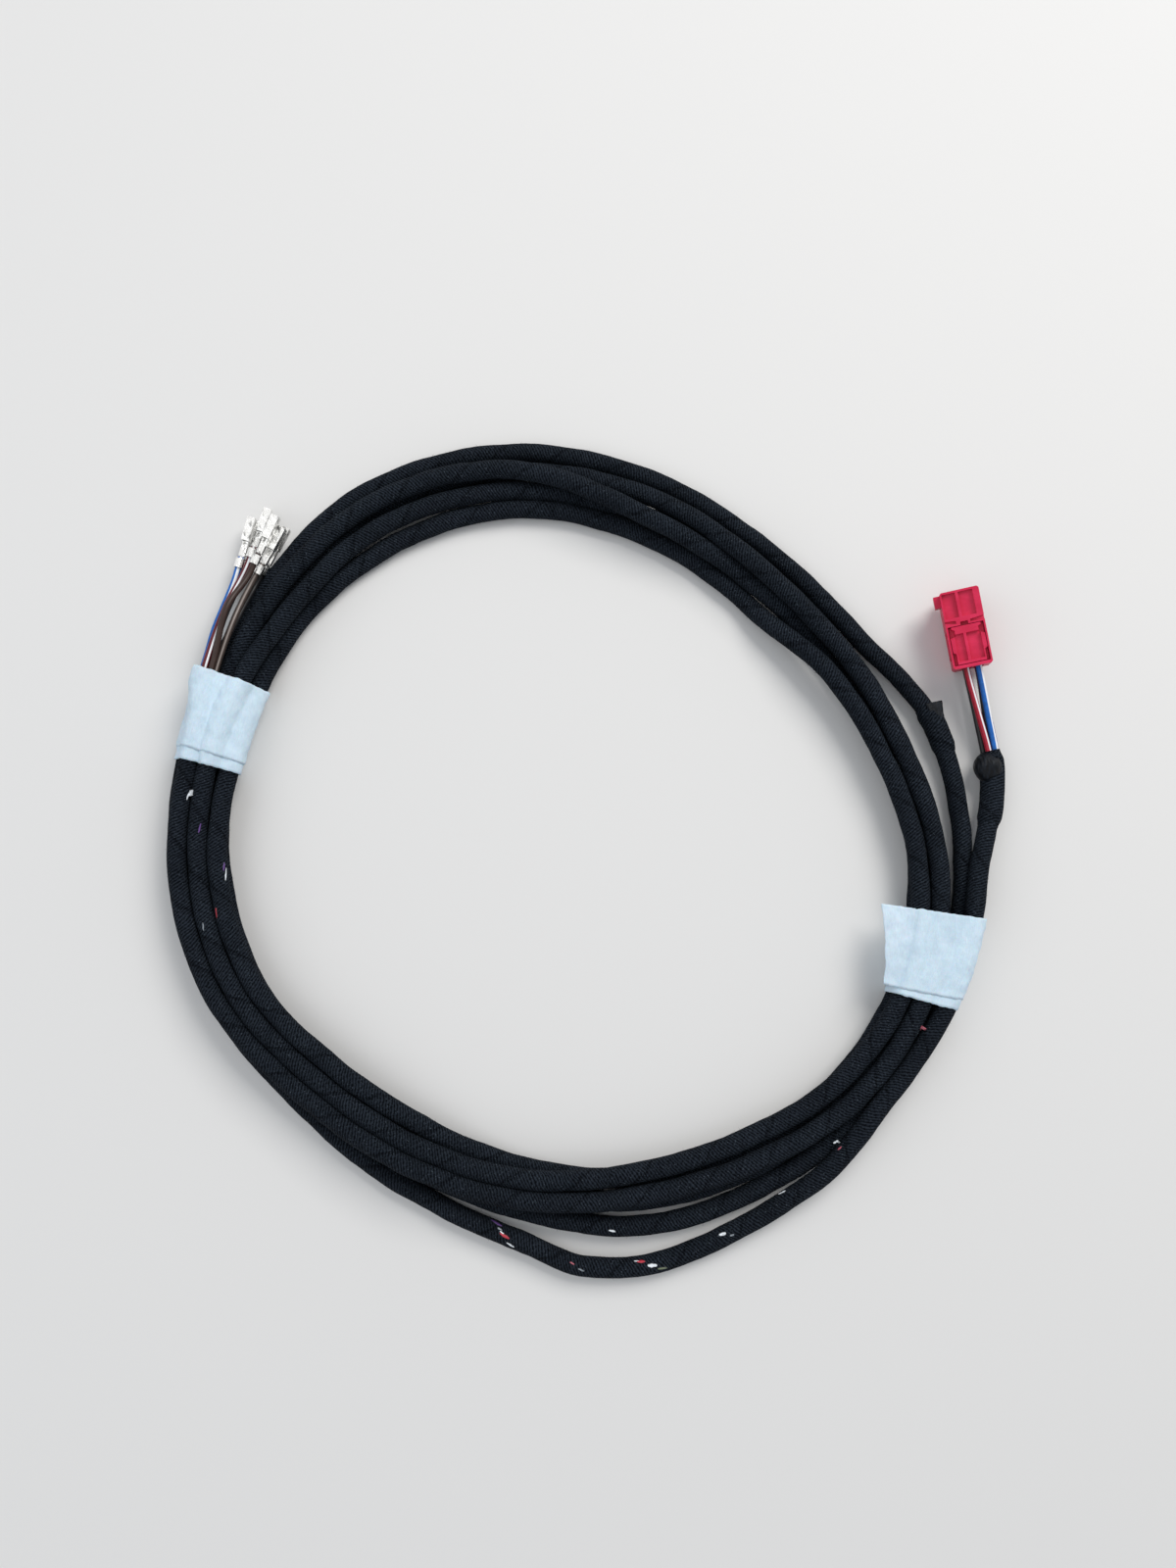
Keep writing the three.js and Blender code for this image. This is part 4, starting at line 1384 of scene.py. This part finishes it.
@dataclass
class PaperStrip(SubAssembly):
    """Creped paper tape wound round the whole coil, in millimetres and degrees."""

    route: LoomRoute
    side: Side
    layers: tuple[StripLayer, ...]
    across: int = 34
    around: int = 150
    thickness: float = 0.14
    deepest_pull: float = 1.3
    inward_pull: float = 0.3
    lean_middle: float = 82.0
    flap_edge: Pair = (69.9, 74.9)
    flap_steps: int = 22
    column_width: float = 0.0004
    sheet_width: float = 0.0215

    def build(self) -> None:
        """Makes each round of the strip."""
        for number, layer in enumerate(self.layers, 1):
            self.wind(number, layer)

    def outline(self, angle: float, layer: StripLayer) -> list[Pair]:
        """The bundle's outline at an angle, drawn in a little between the strands.

        Args:
            angle: the angle round the coil.
            layer: the round of paper that follows it.

        Returns:
            Evenly spaced points (radius, height), clockwise from the inner top.
        """
        strands = [self.route.cylindrical(angle - 360.0 * count) for count in range(len(LOOM_TURNS))]
        reach = LOOM_DIAMETER / 2 + layer.offset
        ways = [(math.cos(math.tau * i / 48), math.sin(math.tau * i / 48)) for i in range(48)]
        rim = hull([(round(r + reach * x, 5), round(h + reach * z, 5)) for r, h in strands for x, z in ways])
        radii, heights = zip(*rim)
        middle = ((min(radii) + max(radii)) / 2, (min(heights) + max(heights)) / 2)
        level = sum(heights) / len(heights)
        drawn = []
        for radius, height in resample(rim, self.around, middle):
            gap = min(math.hypot(radius - r, height - h) for r, h in strands) - reach
            pull = min(layer.hug * max(gap, 0.0), self.deepest_pull)
            inward, down = middle[0] - radius, level - height
            size = math.hypot(inward, down) or 1.0
            drawn.append((radius + pull * inward / size * self.inward_pull, height + pull * down / size))
        return drawn

    def wind(self, number: int, layer: StripLayer) -> None:
        """Makes one round of paper as a thin closed sheet.

        Args:
            number: which round it is, from 1.
            layer: its sizes.
        """
        shares = [row / (self.across - 1) for row in range(self.across)]
        span = layer.last - layer.first
        grid = []
        for share in shares:
            ring = self.outline(layer.first + span * share, layer)
            grid.append(self.flap(layer, share, ring[0]) + ring)
        vertices = []
        for row, (share, ring) in enumerate(zip(shares, smoothed(grid))):
            torn = 0.16 if row in (0, self.across - 1) else 0.0
            for column, (radius, height) in enumerate(ring):
                rag = torn * noise.noise(Vector((column * 0.21, number * 3.0, row)))
                lean = layer.lean * share * (radius - self.lean_middle)
                vertices.append(crumpled(polar(layer.first + span * share + rag + lean, radius, height)))
        columns = len(grid[0])
        faces = quads(self.across, columns, closed=not layer.flap)
        piece = mesh_piece(f"paper_{self.side.value}_round_{number}", vertices, faces, PAPER)
        self.unroll(piece.data, columns)
        thickened(piece, self.thickness)
        nodes = (f"paper_strip_{self.side.value}",) if number == 1 else ()
        self.report(on_part(piece, PAPER, *nodes))

    def unroll(self, mesh: Mesh, columns: int) -> None:
        """Gives the paper a flat map in metres, with no jump where a round meets itself.

        Args:
            mesh: the round of paper.
            columns: how many vertices go round it.
        """
        spread = mesh.uv_layers.new(name="UVMap")
        for face in mesh.polygons:
            places = [index % columns for index in face.vertices]
            for loop, index, place in zip(face.loop_indices, face.vertices, places):
                if max(places) - place > columns / 2:
                    place += columns
                share = (index // columns) / (self.across - 1)
                spread.data[loop].uv = (place * self.column_width, share * self.sheet_width)

    def flap(self, layer: StripLayer, share: float, root: Pair) -> list[Pair]:
        """The free end that stands inwards from the strip's inner top, with its torn edge.

        Args:
            layer: the round of paper.
            share: how far across the strip this row is.
            root: the radius and height where the free end starts.

        Returns:
            The row's points on it, from its edge to its root.
        """
        if not layer.flap:
            return []
        radius, height = root
        coarse = noise.noise(Vector((share * 9.0, 2.0, 0.0)))
        fine = noise.noise(Vector((share * 31.0, 7.0, 0.0)))
        first, last = self.flap_edge
        edge = first + (last - first) * share + 0.35 * coarse + 0.18 * fine
        steps = [step / self.flap_steps for step in range(self.flap_steps, 0, -1)]
        return [(radius + (edge - radius) * t, height - 0.5 * t + 0.9 * t * t) for t in steps]


def crumpled(place: Triple) -> Vector:
    """A point of paper, moved a little in or out by its crumples.

    Args:
        place: the smooth point, in millimetres round the coil's centre.

    Returns:
        The moved point in metres in the part's frame.
    """
    point = Vector(place)
    crumple = noise.noise(point * 0.55) * 0.2 + noise.noise(point * 1.7) * 0.08
    grow = 1 + crumple / 90
    return placed((point.x * grow, point.y * grow, point.z + crumple * 0.8))


def resample(rim: list[Pair], count: int, middle: Pair) -> list[Pair]:
    """Evenly spaced points along a closed outline, clockwise from its inner top.

    Args:
        rim: the outline, anticlockwise.
        count: how many points to give.
        middle: the point that the start's direction is taken from.

    Returns:
        The points.
    """
    ring = list(reversed(rim))
    ring.append(ring[0])
    reach = [0.0]
    for a, b in zip(ring, ring[1:]):
        reach.append(reach[-1] + math.hypot(b[0] - a[0], b[1] - a[1]))

    def at(length: float) -> Pair:
        """The point at a length along the outline.

        Args:
            length: how far along it is; it may go past a whole round.

        Returns:
            The point.
        """
        length %= reach[-1]
        index = max(i for i, value in enumerate(reach[:-1]) if value <= length)
        share = (length - reach[index]) / max(reach[index + 1] - reach[index], 1e-9)
        a, b = ring[index], ring[index + 1]
        return a[0] + (b[0] - a[0]) * share, a[1] + (b[1] - a[1]) * share

    tries = [reach[-1] * i / 400 for i in range(400)]
    start = max(tries, key=lambda length: leaning(at(length), middle))
    return [at(start + reach[-1] * i / count) for i in range(count)]


def leaning(point: Pair, middle: Pair) -> float:
    """How nearly a point lies towards the inner top of the outline, seen from its middle."""
    inward, up = middle[0] - point[0], point[1] - middle[1]
    return (0.86 * inward + 0.5 * up) / (math.hypot(inward, up) or 1.0)


def smoothed(grid: list[list[Pair]]) -> list[list[Pair]]:
    """A grid with each point averaged with the rows beside it.

    Args:
        grid: rows of points.

    Returns:
        The smoothed rows.
    """
    out = []
    last = len(grid) - 1
    for row, ring in enumerate(grid):
        before, after = grid[max(row - 1, 0)], grid[min(row + 1, last)]
        out.append(
            [
                ((a[0] + 2 * b[0] + c[0]) / 4, (a[1] + 2 * b[1] + c[1]) / 4)
                for a, b, c in zip(before, ring, after)
            ]
        )
    return out


# Wires and contacts


SLEEVE_RADIUS = 1.1
CRIMP_START = 3.2
CRIMP_GAP = 0.3
WIRE_STEPS = 60
WIRE = Tube(WIRE_DIAMETER * MM, 21, 20 * MM, 0.0, 0.03 * MM, 300.0)


@dataclass(frozen=True)
class LooseLead:
    """One free wire with its contact: a point on the way, crimp end, tip, ring slot and finish."""

    via: Triple
    tail: Triple
    tip: Triple
    slot: float
    finish: Insulation


LOOSE_LEADS = (
    LooseLead((-86.35, 54.55, 7.9), (-82.5, 70.5, 4.3), (-79.4, 83.6, 4.3), 0, BLUE_WHITE),
    LooseLead((-83.7, 59.6, 8.9), (-79.7, 73.0, 4.5), (-75.7, 85.1, 4.5), 60, DARK_RED_WHITE),
    LooseLead((-82.6, 58.5, 12.1), (-77.5, 69.8, 9.4), (-72.3, 82.5, 9.4), 120, BROWN),
    LooseLead((-81.3, 56.3, 10.15), (-77.3, 68.2, 6.9), (-71.3, 80.2, 6.9), 180, TAUPE),
    LooseLead((-81.0, 57.0, 8.3), (-76.8, 68.9, 4.4), (-70.9, 81.1, 4.4), 240, BLACK),
    LooseLead((-85.1, 57.6, 5.3), (-82.1, 70.8, 1.4), (-78.9, 84.0, 1.4), 300, GREY),
)


@dataclass
class CrimpedEnd(SubAssembly):
    """One end of the harness: free wires, each crimped in a contact."""

    route: LoomRoute
    tree: NodeTree
    contact_bevel: float = 0.05

    def crimp(
        self, nodes: Sequence[str], names: Sequence[str], knots: list[Vector], finish: Finish, seed: float
    ) -> None:
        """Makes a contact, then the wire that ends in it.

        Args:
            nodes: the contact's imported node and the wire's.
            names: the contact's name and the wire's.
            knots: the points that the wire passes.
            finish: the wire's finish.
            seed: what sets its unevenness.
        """
        contact = self.report(softened(nodes[0], names[0], TINNED, self.contact_bevel))
        points = smooth_line(knots, WIRE_STEPS)
        wire = replace(WIRE, seed=seed).along(names[1], points, self.tree, finish)
        on_part(wire, finish, nodes[1])
        round(path_length(points), 4)
        self.report(wire)


MERGE_GAP = 0.002 * MM
FLAT_ANGLE = math.radians(0.8)
EDGE_ANGLE = math.radians(35)


def softened(node: str, name: str, finish: Finish, width: float) -> Object:
    """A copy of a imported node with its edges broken.

    Args:
        node: the node to copy and stand for.
        name: the new piece's name.
        finish: its finish.
        width: the bevel's width in millimetres.

    Returns:
        The piece.
    """
    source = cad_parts[node]
    work = bmesh.new()
    work.from_mesh(source.data)
    bmesh.ops.remove_doubles(work, verts=work.verts[:], dist=MERGE_GAP)
    bmesh.ops.dissolve_limit(work, angle_limit=FLAT_ANGLE, verts=work.verts[:], edges=work.edges[:])
    mesh = bpy.data.meshes.new(name)
    work.to_mesh(mesh)
    work.free()
    mesh.materials.clear()
    mesh.materials.append(finish.material())
    piece = linked(name, mesh)
    bevel = piece.modifiers.new("edges", "BEVEL")
    bevel.width = width * MM
    bevel.segments = 2
    bevel.limit_method = "ANGLE"
    bevel.angle_limit = EDGE_ANGLE
    bevel.harden_normals = True
    return on_part(piece, finish, node)


@dataclass
class LooseEnd(CrimpedEnd):
    """The six free wires with their crimped contacts."""

    straight_run: float = 3.0

    def build(self) -> None:
        """Makes each contact with its wire."""
        for number, lead in enumerate(LOOSE_LEADS, 1):
            nodes = (f"loose_contact_{number}", f"loose_wire_{number}")
            names = (f"contact_{number}", f"lead_{number}")
            self.crimp(nodes, names, self.knots(lead), lead.finish, number)

    def knots(self, lead: LooseLead) -> list[Vector]:
        """The points that a free wire passes.

        Args:
            lead: the wire with its contact.

        Returns:
            The points in metres.
        """
        end, tip = placed(lead.tail), placed(lead.tip)
        heading = (tip - end).normalized()
        exit_angle = self.route.angles[-1]
        return [
            self.route.slot(LAST_ANGLE - END_GAP_ANGLE, lead.slot),
            self.route.slot((LAST_ANGLE + exit_angle) / 2, lead.slot),
            self.route.slot(exit_angle, lead.slot),
            placed(lead.via),
            end - heading * self.straight_run * MM,
            end + heading * (CRIMP_START - CRIMP_GAP) * MM,
        ]


@dataclass(frozen=True)
class PlugWay:
    """One cavity of the plug: its column, row, the wire's ring slot and finish."""

    column: float
    row: int
    slot: float
    finish: Insulation


PLUG_WAYS = (
    PlugWay(0.5, 1, 180, BLACK),
    PlugWay(0.5, 2, 120, RED_WHITE),
    PlugWay(-0.5, 2, 60, BLUE_WHITE),
    PlugWay(0.5, 0, 240, BROWN),
    PlugWay(-0.5, 0, 300, GREY),
    PlugWay(-0.5, 1, 0, VIOLET_WHITE),
)


@dataclass
class Plug(CrimpedEnd):
    """The red housing with its lock, its wires and the contacts inside."""

    rear: Triple = (95.81, 47.78, 1.4)
    heading: float = 101.1
    roll: float = -18.0
    nose_up: float = 6.0
    pitch: float = 2.8
    rows: Triple = (1.7, 4.35, 7.0)
    cavity: float = 2.4
    contact_depth: float = 2.4
    contact_over_floor: float = 0.1
    straight_run: float = 2.0
    housing_bevel: float = 0.19
    lock_bevel: float = 0.1
    first_seed: float = 10.0

    def at(self, along: float, across: float, up: float) -> Vector:
        """A place on the plug's own axes, in metres in the part's frame.

        Args:
            along: how far from the rear towards the mating end, in millimetres.
            across: how far to the side.
            up: how far up.

        Returns:
            The place.
        """
        turn = (
            Matrix.Rotation(math.radians(self.heading), 3, "Z")
            @ Matrix.Rotation(math.radians(-self.nose_up), 3, "Y")
            @ Matrix.Rotation(math.radians(self.roll), 3, "X")
        )
        return placed(Vector(self.rear) + turn @ Vector((along, across, up)))

    def build(self) -> None:
        """Makes the housing, the lock, and each wire with its contact."""
        self.report(softened("connector_housing", "plug_housing", RED_PLASTIC, self.housing_bevel))
        self.report(softened("connector_lock", "plug_lock", RED_PLASTIC, self.lock_bevel))
        for number, way in enumerate(PLUG_WAYS, 1):
            nodes = (f"plug_contact_{number}", f"plug_wire_{number}")
            names = (f"plug_terminal_{number}", f"plug_lead_{number}")
            self.crimp(nodes, names, self.knots(way), way.finish, number + self.first_seed)

    def knots(self, way: PlugWay) -> list[Vector]:
        """The points that a plug wire passes.

        Args:
            way: the cavity.

        Returns:
            The points in metres.
        """
        across = way.column * self.pitch
        height = self.rows[way.row] - self.cavity / 2 + self.contact_over_floor + SLEEVE_RADIUS
        start = FIRST_ANGLE + END_GAP_ANGLE
        out = self.route.slot(WRAP_LAST_ANGLE, way.slot)
        straight = self.at(-self.straight_run, across, height)
        return [
            self.route.slot(start, way.slot),
            self.route.slot((start + WRAP_LAST_ANGLE) / 2, way.slot),
            out,
            straight.lerp(out, 0.5),
            straight,
            self.at(self.contact_depth + CRIMP_START - CRIMP_GAP, across, height),
        ]


# Studio


@dataclass(frozen=True)
class Lamp:
    """A soft square lamp: its name, its place and side in metres, its power in watts and its colour."""

    name: str
    place: Triple
    side: float
    power: float
    colour: Triple

    def hang(self) -> None:
        """Adds the lamp, which points at the coil."""
        data = bpy.data.lights.new(self.name, "AREA")
        data.energy, data.size, data.color = self.power, self.side, self.colour
        lamp = bpy.data.objects.new(self.name, data)
        lamp.location = self.place
        lamp.rotation_euler = (-Vector(self.place)).to_track_quat("-Z", "Y").to_euler()
        bpy.context.scene.collection.objects.link(lamp)


LAMPS = (
    Lamp("key", (0.45, 0.62, 0.76), 0.58, 8.4, (1.0, 0.985, 0.96)),
    Lamp("fill", (-0.5, -0.1, 0.6), 0.8, 1.8, (0.94, 0.97, 1.0)),
)


@dataclass
class Studio:
    """The camera at the photograph's angle, the pale floor and the soft lights."""

    camera_place: Triple = (-9.145, -23.302, 280.746)
    camera_aim: Triple = (-0.838, 14.232, 0.0)
    focal_pixels: float = 1201.8
    long_side: int = 1600
    sensor: float = 36.0

    def build(self) -> None:
        """Makes the camera, the floor and the lights."""
        self.camera()
        self.floor()
        self.backdrop()
        for lamp in LAMPS:
            lamp.hang()

    def camera(self) -> None:
        """The camera, level with the photograph's frame."""
        data = bpy.data.cameras.new("camera")
        data.sensor_width = self.sensor
        data.lens = self.sensor * self.focal_pixels / self.long_side
        data.clip_start, data.clip_end = 0.01, 20.0
        eye = Vector(self.camera_place) * MM
        forward = (Vector(self.camera_aim) * MM - eye).normalized()
        upward = (Vector((0, 1, 0)) - forward * forward.y).normalized()
        right = forward.cross(upward)
        turn = Matrix((right, upward, -forward)).transposed()
        camera = bpy.data.objects.new("camera", data)
        camera.matrix_world = Matrix.Translation(eye) @ turn.to_4x4()
        bpy.context.scene.collection.objects.link(camera)
        bpy.context.scene.camera = camera

    def floor(self) -> None:
        """A wide pale floor just under the harness."""
        reach, level = 6.0, -0.03 * MM
        corners = [(reach * x, reach * y, level) for x, y in ((-1, -1), (1, -1), (1, 1), (-1, 1))]
        floor = mesh_piece("floor", corners, [[0, 1, 2, 3]], PlainFloor("pale_floor", ""))

    def backdrop(self) -> None:
        """A plain pale surround, which the camera and reflections see at strength 1."""
        world = bpy.data.worlds.new("surround")
        world.use_nodes = True
        web = Web(world.node_tree)
        rays = world.node_tree.nodes.new("ShaderNodeLightPath")
        seen = Signal(world.node_tree, rays.outputs["Is Camera Ray"])
        glossy = Signal(world.node_tree, rays.outputs["Is Glossy Ray"])
        shown = seen.math("MAXIMUM", seen, glossy)
        base = world.node_tree.nodes["Background"]
        colour = web.mix(shown, rgba((0.86, 0.90, 0.96)), rgba((0.84, 0.835, 0.825)))
        feed(world.node_tree, base.inputs["Color"], colour)
        feed(world.node_tree, base.inputs["Strength"], 0.55 + 0.45 * shown)
        bpy.context.scene.world = world


def main() -> None:
    """Builds the studio and every sub-assembly in order."""
    logging.basicConfig(level=logging.INFO, format="%(message)s")
    bpy.context.scene.view_settings.view_transform = "Standard"
    Studio().build()
    route, tree = LoomRoute(), sweep_tree()
    Loom(route, tree).build()
    LooseEnd(route, tree).build()
    Plug(route, tree).build()
    for side, layers in STRIPS.items():
        PaperStrip(route, side, layers).build()


if __name__ == "__main__":
    main()
